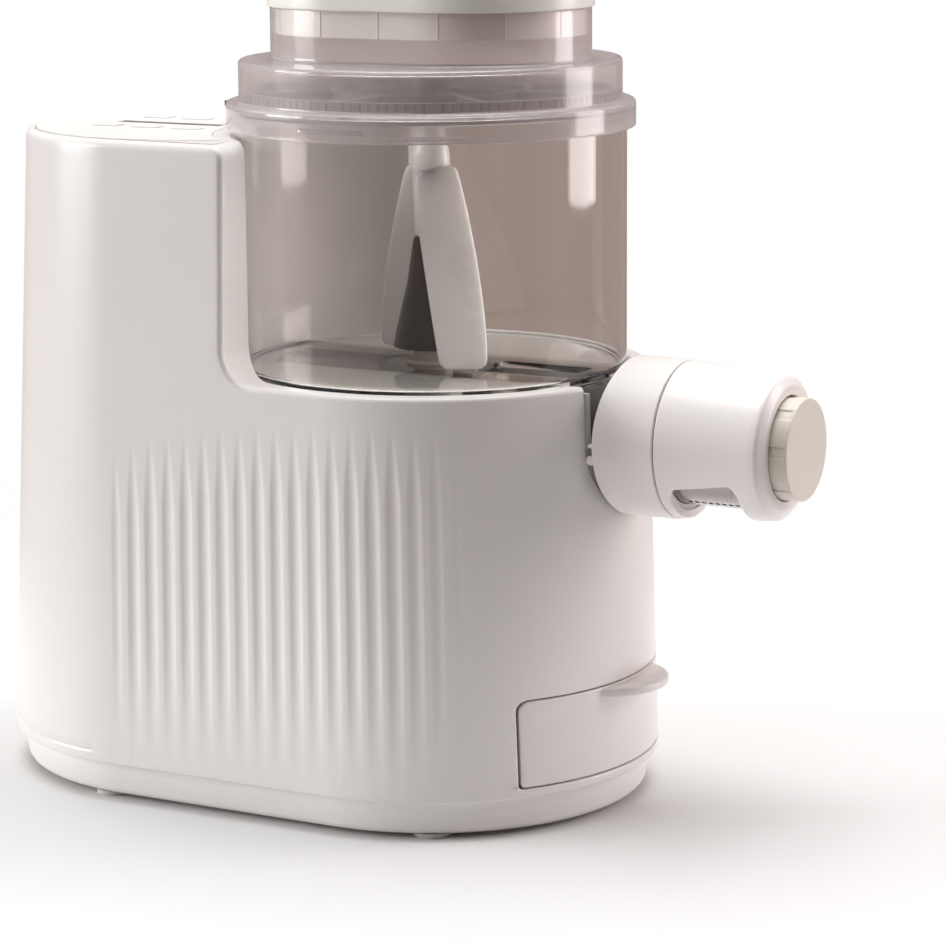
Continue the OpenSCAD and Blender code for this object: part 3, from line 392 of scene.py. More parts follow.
die_alloy = finish("turned_alloy", (0.56, 0.55, 0.54), rough=0.28, metal=1, bump=0.12,
                   grain=900, stretch=(8, 1, 1))
bush_bronze = finish("sintered_bronze", (0.52, 0.36, 0.16), rough=0.45, metal=1, bump=0.2)
contact_brass = finish("contact_brass", (0.66, 0.53, 0.25), rough=0.25, metal=1, bump=0.05)
motor_paint = finish("motor_enamel", (0.16, 0.17, 0.18), rough=0.4, bump=0.2)
acetal = finish("natural_acetal", (0.74, 0.70, 0.62), rough=0.4, bump=0.05)
board_mask = finish("circuit_board", (0.02, 0.11, 0.05), rough=0.35, bump=0.1, grain=1500)
bowl_smoke = finish("smoke_bowl", (0.80, 0.79, 0.775), rough=0.03, drift=0.0, bump=0,
                    see_through=1.0, ior=1.45)
lid_smoke = finish("smoke_lid", (0.77, 0.73, 0.725), rough=0.12, drift=0.0, bump=0,
                   see_through=0.84, ior=1.45)
grate_smoke = finish("smoke_grate", (0.30, 0.27, 0.28), rough=0.2, see_through=0.5)
barrel_smoke = finish("dark_barrel", (0.07, 0.065, 0.065), rough=0.15, coat=0.5)
print("finishes:", len(bpy.data.materials))

# %% [markdown]
# ## Camera
# The camera comes before the shapes. It stands to the right of the machine's front, a little
# above its middle, with a long lens, so that the uprights stay nearly parallel.

# %% A long lens from the right of the front
CAMERA_TURN = math.radians(29.15)       # round the bowl's axis, from straight in front
CAMERA_AWAY, CAMERA_HIGH = 1512, 445    # mm from the axis, and above the table
YAW, PITCH, ROLL = (math.radians(v) for v in (-0.67, 11.24, -0.43))
FOCAL_PIXELS, FRAME_PIXELS, SENSOR = 3362, 946, 36.0


def place_camera():
    """Camera axes: forward from turn, yaw and pitch; right and up then rolled about it."""
    a = CAMERA_TURN + YAW
    forward = np.array([-math.sin(a) * math.cos(PITCH), math.cos(a) * math.cos(PITCH),
                        -math.sin(PITCH)])
    right = np.array([math.cos(a), math.sin(a), 0])
    up = np.cross(right, forward)
    r2 = math.cos(ROLL) * right + math.sin(ROLL) * up
    u2 = math.cos(ROLL) * up - math.sin(ROLL) * right
    eye = np.array([CAMERA_AWAY * math.sin(CAMERA_TURN) + axis_x,
                    -CAMERA_AWAY * math.cos(CAMERA_TURN), CAMERA_HIGH]) / 1000
    lens = bpy.data.cameras.new("studio_camera")
    lens.sensor_width = SENSOR
    lens.sensor_fit = "HORIZONTAL"
    lens.lens = FOCAL_PIXELS / FRAME_PIXELS * SENSOR
    lens.clip_end = 60
    camera = bpy.data.objects.new("studio_camera", lens)
    basis = np.eye(4)
    basis[:3, 0], basis[:3, 1], basis[:3, 2], basis[:3, 3] = r2, u2, -forward, eye
    camera.matrix_world = Matrix(basis.tolist())
    bpy.context.scene.collection.objects.link(camera)
    bpy.context.scene.camera = camera
    return camera


camera = place_camera()
print("lens", round(camera.data.lens, 1), "mm")

# %% [markdown]
# ## The casing's outline
# Seen from above, the casing is two round ends joined by straight sides, and it leans in a
# little as it rises. One function gives any point of its wall from u, the distance along the
# outline from the front end, and z. A second one finds u where the wall passes a given x.

# %% The leaning wall
FOOT_Z, TOP_Z = float(body_low[2]), float(body_high[2])
FRONT_R, BACK_R, SPAN = 103.0, 103.0, 112.5          # at the foot
TOP_R, COLUMN_R, TOP_SPAN = 95.0, 90.0, 111.5        # at the top
U_FRONT, U_SIDE, U_BACK = 157.0, 266.2, 423.6        # u at the ends of front arc, side, back arc


def wall_sizes(z):
    """Front radius, back radius and the distance between their centres, each linear in z."""
    rise = (z - FOOT_Z) / (TOP_Z - FOOT_Z)
    front = FRONT_R + (TOP_R - FRONT_R) * rise
    back = BACK_R + (COLUMN_R - BACK_R) * rise
    span = SPAN + (TOP_SPAN - SPAN) * rise
    return front, back, span


def wall(u, z, inset=0.0):
    """Point and outward normal of the casing's wall on the near side, Y below 0.

    The normal's angle goes from 0 at the front to 180 degrees at the back: it grows along the
    front arc, holds on the straight side and grows again round the back arc. Point = centre +
    radius * (cos, -sin) of that angle, with centre and radius blended along the side.
    """
    u, z = np.broadcast_arrays(np.asarray(u, float), np.asarray(z, float))
    front, back, span = wall_sizes(z)
    front, back = front - inset, back - inset
    side = np.arccos((back - front) / span)
    angle = np.where(u < U_FRONT, side * u / U_FRONT,
                     np.where(u < U_SIDE, side,
                              side + (np.pi - side) * (u - U_SIDE) / (U_BACK - U_SIDE)))
    f = np.clip((u - U_FRONT) / (U_SIDE - U_FRONT), 0, 1)
    radius = (1 - f) * front + f * back
    point = np.stack([radius * np.cos(angle) - f * span, -radius * np.sin(angle), z], -1)
    tall = TOP_Z - FOOT_Z
    lean = -((1 - f) * (TOP_R - FRONT_R)
             + f * ((COLUMN_R - BACK_R) - (TOP_SPAN - SPAN) * np.cos(angle))) / tall
    normal = np.stack([np.cos(angle), -np.sin(angle), lean], -1)
    return point, unit(normal)


def u_at_x(x, z):
    """u where the wall passes x: an arc cosine on the round ends, a share on the side."""
    x, z = np.broadcast_arrays(np.asarray(x, float), np.asarray(z, float))
    front, back, span = wall_sizes(z)
    side = np.arccos((back - front) / span)
    x0, x1 = front * np.cos(side), back * np.cos(side) - span
    on_front = U_FRONT * np.arccos(np.clip(x / front, -1, 1)) / side
    on_side = U_FRONT + (U_SIDE - U_FRONT) * (x0 - x) / (x0 - x1)
    turn = np.arccos(np.clip((x + span) / back, -1, 1))
    on_back = U_SIDE + (U_BACK - U_SIDE) * (turn - side) / (np.pi - side)
    return np.where(x > x0, on_front, np.where(x > x1, on_side, on_back))


def u_at_y(y, z):
    """u where the front end's wall is y away from the middle plane."""
    front, back, span = wall_sizes(np.asarray(z, float))
    side = np.arccos((back - front) / span)
    return U_FRONT * np.arcsin(np.clip(np.abs(y) / front, 0, 1)) / side


# %% [markdown]
# ## Flutes
# A band of upright flutes runs round the front of the casing. Each is a shallow groove about
# 9 mm from the next. A round cutter of radius R that stands D deep in a wall leaves a groove
# whose depth is D - d^2 / 2R at a distance d from its middle, and nothing where that is below
# zero. So where the cutter leaves the wall the groove gets narrower as well as shallower, and
# ends in a point. The band fades at both ends and runs out softly at the foot.

# %% Depth of the flutes
FLUTE_PITCH, FLUTE_DEPTH, CUTTER_R = 9.3, 0.85, 6.0
TIP_X = [-112, -89, -43, -6, 60]               # the tips lie on a line that rises to the front
TIP_Z = [166.5, 173.5, 183.5, 187, 187.5]
FADE_FRONT, FADE_BACK = (80, 122), (250, 274)  # u between which the band's ends fade
FADE_FOOT, TIP_LENGTH, TIP_BEND = (16, 90), 36, 1.4
FLUTE_SOFT, NO_FLUTE = 0.06, 0.12              # mm: easing of the groove's edge, least depth
FLUTE_MIDDLE = float(u_at_x(-62.0, 120.0))     # one groove lies here
BAND = (78.0, 276.0, 24.6, 191.0)              # first and last u, first and last z


def ramp(v, a, b):
    """0 below a, 1 above b, and 3 t^2 - 2 t^3 between."""
    t = np.clip((v - a) / (b - a), 0, 1)
    return t * t * (3 - 2 * t)


def flute_depth(u, z):
    """How far the wall is cut in at (u, z), in mm: D - d^2 / 2R, eased to 0 at its edges.

    The easing is half of q + sqrt(q^2 + e^2), which is q well above 0 and 0 well below it.
    """
    x = wall(u, z)[0][..., 0]
    tip = np.interp(x, TIP_X, TIP_Z)
    ends = ramp(u, *FADE_FRONT) * (1 - ramp(u, *FADE_BACK))
    deep = FLUTE_DEPTH * ends * np.clip((tip - z) / TIP_LENGTH, 0, 1) ** TIP_BEND
    away = (u - FLUTE_MIDDLE + FLUTE_PITCH / 2) % FLUTE_PITCH - FLUTE_PITCH / 2
    q, e = deep - away ** 2 / (2 * CUTTER_R), FLUTE_SOFT
    eased = 0.5 * (q + np.sqrt(q ** 2 + e ** 2))
    rest = 0.5 * (np.sqrt((FLUTE_PITCH ** 2 / (8 * CUTTER_R)) ** 2 + e ** 2)
                  - FLUTE_PITCH ** 2 / (8 * CUTTER_R))
    return (eased - rest).clip(0) * ramp(deep, 0, NO_FLUTE) * ramp(z, *FADE_FOOT)


def fluted(u, z):
    """The wall's point, moved in against its normal by the flute's depth."""
    point, normal = wall(u, z)
    return point - flute_depth(u, z)[..., None] * normal


print("flutes:", round((BAND[1] - BAND[0]) / FLUTE_PITCH), "grooves on each side")

# %% [markdown]
# ## The casing
# The casing is one skin with rolled edges: its wall, the rim round the bowl, the fillet that
# sweeps up into the column's front face, the column's nose and its top round the control panel.
# Rim, fillet, face and nose are one ribbon that follows the side view. For each step along it,
# the ribbon rolls over the outer edge, crosses the land and rolls over the inner edge into the
# bowl's recess.

# %% The ribbon from the rim to the column's top
RIM_Z, SEAT_Z, SEAT_R, SLOT_END_Z = 196.5, 193.5, 90.0, 184
COLUMN_X, FILLET, NOSE = -53.0, 15.0, 7.0
EDGE, INNER_EDGE, TOP_EDGE = 2.4, 1.1, 4.0
SLOT_HALF, SLOT_Z, SLOT_EDGE = 31.0, 171.0, 1.4
NEAR_SLOT = SLOT_HALF + SLOT_EDGE
INNER_R = SEAT_R + INNER_EDGE                # where the inner edge's round has its middle
RING_STEPS, NOSE_STEPS, EDGE_STEPS, INNER_STEPS = 70, 13, 8, 6
LIP_STEPS, SEAT_STEPS, LAND_COLUMNS = 26, 90, slice(EDGE_STEPS, -INNER_STEPS)
UP = np.array([0, 0, 1.0])


def ribbon_path():
    """(x, z) of the side view from fillet to nose, its normal and the outer edge's radius."""
    a = np.linspace(0, np.pi / 2, NOSE_STEPS)
    fillet = np.stack([COLUMN_X + FILLET - FILLET * np.sin(a),
                       RIM_Z + FILLET - FILLET * np.cos(a)], -1)
    fillet_n = np.stack([np.sin(a), np.cos(a)], -1)
    z = np.linspace(RIM_Z + FILLET, TOP_Z - NOSE, 16)[1:-1]
    face = np.stack([np.full_like(z, COLUMN_X), z], -1)
    face_n = np.tile([1.0, 0.0], (len(z), 1))
    nose = np.stack([COLUMN_X - NOSE + NOSE * np.cos(a), TOP_Z - NOSE + NOSE * np.sin(a)], -1)
    nose_n = np.stack([np.cos(a), np.sin(a)], -1)
    edge = np.concatenate([np.full(len(a) + len(z), EDGE),
                           EDGE + (TOP_EDGE - EDGE) * ramp(a, 0, np.pi / 2)])
    return np.concatenate([fillet, face, nose]), np.concatenate([fillet_n, face_n, nose_n]), edge


def ribbon():
    """Rows along the ribbon, columns across it, and where on the wall each row starts.

    A row is the outer quarter round, centre + r (cos a n1 + sin a n2), the land, and the inner
    round, whose angle is the one between the ribbon's normal and the way to the axis.
    """
    path, normal, edge = ribbon_path()
    # the ring part of the rim, from the slot's edge to where the fillet starts
    steps = RING_STEPS
    x_end = COLUMN_X + FILLET
    u0 = float(u_at_y(NEAR_SLOT, RIM_Z - EDGE))
    u1 = float(u_at_x(x_end, RIM_Z - EDGE))
    turn0 = math.asin(NEAR_SLOT / INNER_R)
    turn1 = math.acos(x_end / INNER_R)
    share = np.linspace(0, 1, steps + 1)[:-1]
    u_ring, turn = u0 + (u1 - u0) * share, turn0 + (turn1 - turn0) * share
    ring_in = at_height(INNER_R * np.stack([np.cos(turn), -np.sin(turn)], -1),
                        RIM_Z - INNER_EDGE)
    at_wall = path - edge[:, None] * normal
    u_all = np.concatenate([u_ring, u_at_x(at_wall[:, 0], at_wall[:, 1])])
    z_all = np.concatenate([np.full(steps, RIM_Z - EDGE), at_wall[:, 1]])
    inner = path - INNER_EDGE * normal
    inner_c = np.stack([inner[:, 0], -np.sqrt(INNER_R ** 2 - inner[:, 0] ** 2),
                        inner[:, 1]], -1)
    inner_c = np.concatenate([ring_in, inner_c])
    n3 = np.concatenate([np.tile([0.0, 0, 1], (steps, 1)),
                         np.stack([normal[:, 0], 0 * normal[:, 0], normal[:, 1]], -1)])
    r_out = np.concatenate([np.full(steps, EDGE), edge])[:, None, None]
    start, wall_n = wall(u_all, z_all)
    a = np.linspace(0, np.pi / 2, EDGE_STEPS)[None, :, None]
    outer_c = start[:, None] - r_out * wall_n[:, None]
    outer_arc = outer_c + r_out * (np.cos(a) * wall_n[:, None] + np.sin(a) * n3[:, None])
    to_axis = unit(-inner_c * (1, 1, 0))
    between = np.arccos(np.clip((n3 * to_axis).sum(1), -1, 1))[:, None, None]
    b = np.linspace(0, 1, INNER_STEPS)[None, :, None]
    roll = (np.sin((1 - b) * between) * n3[:, None]
            + np.sin(b * between) * to_axis[:, None]) / np.sin(between)
    inner_arc = inner_c[:, None] + INNER_EDGE * roll
    land_a, land_b = outer_arc[:, -1:], inner_arc[:, :1]
    width = np.linalg.norm(land_b - land_a, axis=2, keepdims=True)
    s = np.concatenate([0.7 / width, np.full_like(width, 0.35), np.full_like(width, 0.65),
                        1 - 0.5 / width], 1)
    land = land_a + s * (land_b - land_a)
    rows = np.concatenate([outer_arc, land, inner_arc], 1)
    return rows, u_all, z_all


rows, u_edge, z_edge = ribbon()
print("ribbon:", rows.shape[0], "steps along it,", rows.shape[1], "points across it")

# %% [markdown]
# The wall below and behind the ribbon is cut from its own flat map: u runs across, z runs up.
# On that map the ribbon's edge, the slot for the barrel, the drawer's opening and the mains
# socket are plain curves, so the wall can be filled with triangles there and then bent round
# the outline. The fluted band is a regular, finer grid that is let into the same map.

# %% The wall's map: its boundary and its two patches
DRAWER_HALF, DRAWER_LOW, DRAWER_HIGH = 66.6, 21.9, 61.6
DRAWER_FOOT, DRAWER_HEAD = 2.2, 5.5          # radius of its lower and its upper corners
SOCKET_HALF, SOCKET_LOW, SOCKET_HIGH = 15.3, 34.7, 57.3
SOCKET_WALL_R = 101                         # the back's radius at the socket's height
CUT_EDGE, FOOT_EDGE = 0.9, 0.8              # rounded edges of the openings and of the foot
RIM_STEP = 2.2                              # mm between points along an opening


def line(a, b, step):
    """Points from a up to, and without, b."""
    a, b = np.array(a, float), np.array(b, float)
    n = max(1, int(round(np.linalg.norm(b - a) / step)))
    return a + (b - a) * (np.arange(n) / n)[:, None]


def arc_2d(centre, radius, start, stop, n):
    """Points centre + radius (cos t, sin t) for t from start to stop degrees."""
    t = np.radians(np.linspace(start, stop, n))
    return np.array(centre, float) + radius * np.stack([np.cos(t), np.sin(t)], -1)


def drawer_rim(grow, less=0.0):
    """(|y|, z) along the drawer's opening from its foot at the middle to its top."""
    y1, z0, z1 = DRAWER_HALF + grow, DRAWER_LOW - grow, DRAWER_HIGH + grow
    foot, head = DRAWER_FOOT - less, DRAWER_HEAD - less
    low = arc_2d((y1 - foot, z0 + foot), foot, -90, 0, 9)
    top = arc_2d((y1 - head, z1 - head), head, 0, 90, 9)
    return np.concatenate([line((0, z0), low[0], RIM_STEP), low,
                           line(low[-1], top[0], RIM_STEP)[1:], top,
                           line(top[-1], (0, z1), RIM_STEP)[1:], [[0, z1]]])


def slot_rim():
    """(|y|, z) up the round foot and the straight side of the barrel's slot."""
    a = np.radians(np.linspace(0, 90, 25))
    foot = np.stack([NEAR_SLOT * np.sin(a), SLOT_Z - NEAR_SLOT * np.cos(a)], -1)
    return np.concatenate([foot, line(foot[-1], (NEAR_SLOT, RIM_Z - EDGE), RIM_STEP)[1:]])


def on_map(yz):
    """(|y|, z) points of the front end's wall as (u, z) points of the map."""
    return np.stack([u_at_y(yz[:, 0], yz[:, 1]), yz[:, 1]], -1)


drawer_map, slot_map = on_map(drawer_rim(CUT_EDGE)), on_map(slot_rim())
edge_map = np.stack([u_edge, z_edge], -1)
back_u = np.arange(edge_map[-1, 0] + 2.4, U_BACK - 1, 2.4)
top_map = np.stack([back_u, np.full_like(back_u, TOP_Z - TOP_EDGE)], -1)
socket_u = U_BACK - SOCKET_HALF / SOCKET_WALL_R * (U_BACK - U_SIDE) / (np.pi / 2)
zf = FOOT_Z + FOOT_EDGE
boundary = np.concatenate([
    line((0, zf), drawer_map[0], 1.6), drawer_map, line(drawer_map[-1], slot_map[0], 2.4)[1:],
    slot_map, edge_map, top_map, line((U_BACK, TOP_Z - TOP_EDGE), (U_BACK, SOCKET_HIGH), 4),
    line((U_BACK, SOCKET_HIGH), (socket_u, SOCKET_HIGH), 4),
    line((socket_u, SOCKET_HIGH), (socket_u, SOCKET_LOW), 4),
    line((socket_u, SOCKET_LOW), (U_BACK, SOCKET_LOW), 4),
    line((U_BACK, SOCKET_LOW), (U_BACK, zf), 3), line((U_BACK, zf), (0, zf), 2.4)])
band_u = np.linspace(BAND[0], BAND[1], 14 * int((BAND[1] - BAND[0]) / FLUTE_PITCH) + 1)
band_z = np.concatenate([np.linspace(BAND[2], 140, 30), np.linspace(140, BAND[3], 32)[1:]])
band = np.concatenate([
    np.stack([band_u[:-1], 0 * band_u[:-1] + BAND[2]], -1),
    np.stack([0 * band_z[:-1] + BAND[1], band_z[:-1]], -1),
    np.stack([band_u[:0:-1], 0 * band_u[1:] + BAND[3]], -1),
    np.stack([0 * band_z[1:] + BAND[0], band_z[:0:-1]], -1)])
CREASE_Z, CREASE_DEPTH, CREASE_WIDTH = 23.0, 0.35, 0.45
wall_rows = np.concatenate([[19.6, 21.4, 22.3, 22.8, 23.2, 23.8], np.arange(28.0, 296, 4.5)])
wall_map, wall_faces = flat_patch(boundary, (4.0, 4.5), holes=[band], rows=wall_rows)


def creased(u, z):
    """The wall with a fine crease a little above its foot: a dip shaped like exp(-d^2)."""
    point, normal = wall(u, z)
    dip = CREASE_DEPTH * np.exp(-((z - CREASE_Z) / CREASE_WIDTH) ** 2)
    return point - dip[..., None] * normal


half = Skin()
half.add(creased(wall_map[:, 0], wall_map[:, 1]), wall_faces)
uu, zz = np.meshgrid(band_u, band_z)
half.grid(fluted(uu, zz))
half.grid(rows)
print("wall:", len(wall_map), "points on the map and", uu.size, "in the fluted band")

# %% [markdown]
# The drawer's opening and the slot for the barrel each get a rolled edge: it starts along the
# wall and turns into the opening. The rim ends at the slot, so its cross-section rolls over
# towards the slot there, and a flat face closes it down to the seat.

# %% Edges of the drawer's opening and of the slot
def yz_inward(yz):
    """Unit directions in the (y, z) plane, at right angles to a rim and into its opening."""
    along = unit(np.gradient(yz, axis=0))
    return np.stack([0 * along[:, 0], along[:, 1], along[:, 0]], -1)


def opening_edge(yz, radius, depth):
    """The rolled edge of an opening in the front wall, at right angles to the wall."""
    u = u_at_y(yz[:, 0], yz[:, 1])
    point, normal = wall(u, yz[:, 1])
    return rolled_edge(point, normal, along_surface(yz_inward(yz), normal), radius, depth)


half.grid(opening_edge(drawer_rim(CUT_EDGE), CUT_EDGE, 3.0))
slot_yz = slot_rim()
slot_in = unit(np.stack([0 * slot_yz[:, 0], slot_yz[:, 0],
                         np.clip(SLOT_Z - slot_yz[:, 1], 0, None)], -1))
slot_point, slot_n = wall(u_at_y(slot_yz[:, 0], slot_yz[:, 1]), slot_yz[:, 1])
half.grid(rolled_edge(slot_point, slot_n, slot_in, SLOT_EDGE, 4.0))
# the rim's own end at the slot: the ribbon's first row, rolled over towards the slot
first = rows[0]
tangent = np.gradient(first, axis=0)
first_n = unit(np.cross(tangent, (0, 1.0, 0)))
first_n *= np.sign(first_n[len(first) // 2, 2])
toward = np.tile([0.0, 1, 0], (len(first), 1))
rim_end = rolled_edge(first, first_n, toward, SLOT_EDGE, 0.6)
half.grid(rim_end)
end = rim_end[:, -1]
foot_in, foot_out = end[-1] * (1, 1, 0) + (0, 0, SEAT_Z), end[0] * (1, 1, 0) + (0, 0, SLOT_END_Z)
half.add(np.concatenate([end, [foot_in, foot_out]]), [list(range(len(end) + 2))])
print("openings: drawer and slot edged")

# %% [markdown]
# The bowl stands in a round recess. Its wall drops from the ribbon's inner edge to the seat, and
# behind the bowl from a lip in the column's top. The seat is flat, with the barrel's trough left
# out of its middle.

# %% The recess and its seat
sweep = np.concatenate([rows[:RING_STEPS + NOSE_STEPS, -1], rows[-NOSE_STEPS:, -1]])
seat_line = sweep * (1, 1, 0) + (0, 0, SEAT_Z)
seat_line[:, :2] *= SEAT_R / np.linalg.norm(seat_line[:, :2], axis=1)[:, None]
drop = np.linspace(0, 1, 9)[None, :, None]
recess = sweep[:, None] + drop * (seat_line - sweep)[:, None]
half.grid(recess[:RING_STEPS + NOSE_STEPS])
back_turn = np.linspace(math.atan2(-sweep[-1, 1], sweep[-1, 0]), np.pi, LIP_STEPS)
lip_c = at_height(INNER_R * np.stack([np.cos(back_turn), -np.sin(back_turn)], -1),
                  TOP_Z - INNER_EDGE)
lip_to = -lip_c * (1, 1, 0) / INNER_R
b = np.linspace(0, np.pi / 2, INNER_STEPS)[None, :, None]
lip = lip_c[:, None] + INNER_EDGE * (np.cos(b) * UP + np.sin(b) * lip_to[:, None])
half.grid(lip)
half.grid(recess[RING_STEPS + NOSE_STEPS:])
lip_foot = lip[:, -1] * (1, 1, 0) + (0, 0, SEAT_Z)
half.grid(lip[:, -1][:, None] + drop * (lip_foot - lip[:, -1])[:, None])
seat_start = math.asin(SLOT_HALF / SEAT_R)
seat_turn = np.linspace(seat_start, np.pi - seat_start, SEAT_STEPS)
seat_edge = at_height(SEAT_R * np.stack([np.cos(seat_turn), -np.sin(seat_turn)], -1), SEAT_Z)
seat_mid = seat_edge * (1, 0, 1) + (0, -SLOT_HALF, 0)
across = np.linspace(0, 1, 5)[None, :, None]
half.grid(seat_edge[:, None] + across * (seat_mid - seat_edge)[:, None])
print("recess:", len(sweep) + LIP_STEPS, "steps round it")

# %% [markdown]
# The column's top rolls over from the back wall into a flat patch. The control panel lies in a
# crescent: the area between a round about the bowl's axis and one about the column's middle.

# %% The column's top, the panel's opening and the foot
top_start, top_n = wall(np.concatenate([edge_map[-1:, 0], back_u, [U_BACK]]), TOP_Z - TOP_EDGE)
a = np.linspace(0, np.pi / 2, EDGE_STEPS)[None, :, None]
top_c = top_start - TOP_EDGE * top_n
top_roll = top_c[:, None] + TOP_EDGE * (np.cos(a) * top_n[:, None] + np.sin(a) * UP)
half.grid(top_roll)
PANEL_R, PANEL_FRONT_R, PANEL_C = 85.5, 98.0, -111.5
corner_x = (PANEL_R ** 2 - PANEL_FRONT_R ** 2 - PANEL_C ** 2) / (-2 * PANEL_C)
corner_y = math.sqrt(PANEL_FRONT_R ** 2 - corner_x ** 2)
front_turn = np.degrees(math.atan2(-corner_y, corner_x)) % 360
back_arc_turn = np.degrees(math.atan2(-corner_y, corner_x - PANEL_C)) % 360
front_arc = arc_2d((0, 0), PANEL_FRONT_R, 180, front_turn - 1.2, 28)
back_arc = arc_2d((PANEL_C, 0), PANEL_R, back_arc_turn - 1.6, 180, 60)
panel_rim = np.concatenate([front_arc, back_arc])
top_loop = np.concatenate([
    top_roll[:, -1, :2][::-1], rows[-1, LAND_COLUMNS, :2], lip[:, 0, :2],
    line((-SEAT_R - INNER_EDGE, 0), (-PANEL_FRONT_R, 0), 2)[1:], panel_rim,
    line((PANEL_C - PANEL_R, 0), top_roll[-1, -1, :2], 2)[1:]])
flat_top, top_faces = flat_patch(top_loop, 4.0)
half.add(at_height(flat_top, TOP_Z), top_faces)
rim3 = at_height(panel_rim, TOP_Z)
into = np.concatenate([front_arc / PANEL_FRONT_R, ((PANEL_C, 0) - back_arc) / PANEL_R])
half.grid(rolled_edge(rim3, np.tile(UP, (len(rim3), 1)), at_height(into, 0.0), 0.05, 3.0, steps=2))
foot_u = np.concatenate([line((U_BACK, zf), (0, zf), 2.4)[:, 0], [0]])
foot_p, foot_n = wall(foot_u, zf)
half.grid(rolled_edge(foot_p, foot_n, np.tile(-UP, (len(foot_u), 1)), FOOT_EDGE, 3.0, steps=4))
piece("casing", half.mirrored(), "machine", casing_paint, replaces=["body_shell"])

# %% [markdown]
# ## Outlines with round corners, carried up or along
# The chimney, its cap and the small blocks share one plan: a rectangle with round
# corners, which becomes a stadium when the corner is as large as the half width. A section is
# carried round that plan. Each point of it is a pair: how far out from the plan, and how high.

# %% A section carried round a rounded rectangle
def carried(section, half_x, half_y, corner, centre=(0, 0), around=20, along=6):
    """Points (height of the section) x (round the plan).

    The plan's corner arcs have fixed middles, so a point d outside the plan lies at
    middle + (corner + d) * (cos t, sin t), and the sides between two arcs are straight.
    """
    section = np.asarray(section, float)
    t, mx, my = [], [], []
    signs = [(1, 1), (-1, 1), (-1, -1), (1, -1)]
    for k, (sx, sy) in enumerate(signs):
        arc = np.radians(np.linspace(90 * k, 90 * k + 90, around + 1))
        nx, ny = signs[(k + 1) % 4]
        share = np.linspace(0, 1, along + 1)[1:-1]
        t += [arc, np.full(len(share), arc[-1])]
        mx += [np.full(around + 1, sx * (half_x - corner)),
               (sx + (nx - sx) * share) * (half_x - corner)]
        my += [np.full(around + 1, sy * (half_y - corner)),
               (sy + (ny - sy) * share) * (half_y - corner)]
    t, mx, my = np.concatenate(t), np.concatenate(mx), np.concatenate(my)
    reach = corner + section[:, :1]
    return np.stack([centre[0] + mx + reach * np.cos(t), centre[1] + my + reach * np.sin(t),
                     section[:, 1:] + 0 * t], -1)


def closed_block(skin, section, half_x, half_y, corner, centre=(0, 0), turn=None, around=8):
    """A carried section whose first and last rows are closed with flat faces.

    turn maps (x, y, z) to where the block lies, for a block that isn't upright.
    """
    rows = carried(section, half_x, half_y, corner, centre, around, 2)
    if turn is not None:
        rows = turn(rows)
    n = rows.shape[1]
    skin.grid(rows, wrap_columns=True)
    skin.add(rows[0], [list(range(n))])
    skin.add(rows[-1], [list(range(n))])
    return skin


def soft_section(low, high, edge, steps=4):
    """A section for a block from low to high with its two outer edges rounded."""
    a = np.radians(np.linspace(0, 90, steps + 1))
    foot = np.stack([edge * np.sin(a) - edge, low + edge - edge * np.cos(a)], -1)
    head = np.stack([edge * np.cos(a) - edge, high - edge + edge * np.sin(a)], -1)
    return np.concatenate([foot, head])


# %% [markdown]
# ## The drawer's front and its pull lip
# The drawer's front is a piece of the casing's own wall, so it uses the wall's formula, a
# little smaller all round. Its half-moon lip is the area between the wall and a round that
# passes through both ends of the lip. Three crescent ribs near its tip give a finger some grip.

# %% The drawer's front
FRONT_HALF, FRONT_T = 66.0, 3.0
LIP_HALF, LIP_REACH, LIP_T, LIP_TOP = 27.0, 14.0, 4.0, 60.5


def drawer_panel():
    """The near half: patch at the wall, a rolled edge, and the same patch FRONT_T behind."""
    skin = Skin()
    grow = FRONT_HALF - DRAWER_HALF - CUT_EDGE
    rim = drawer_rim(grow, 1.5)
    rim_map = on_map(rim)
    loop = np.concatenate([rim_map, line(rim_map[-1], rim_map[0], RIM_STEP)[1:]])
    flat, faces = flat_patch(loop, (4.0, 4.0))
    skin.add(wall(flat[:, 0], flat[:, 1])[0], faces)
    point, normal = wall(rim_map[:, 0], rim_map[:, 1])
    out = along_surface(-yz_inward(rim), normal)
    edge = rolled_edge(point, normal, out, CUT_EDGE, FRONT_T)
    back = wall(rim_map[:, 0], rim_map[:, 1], FRONT_T)[0]
    skin.grid(np.concatenate([edge, back[:, None]], 1))
    skin.add(wall(flat[:, 0], flat[:, 1], FRONT_T)[0], faces)
    return skin.mirrored()


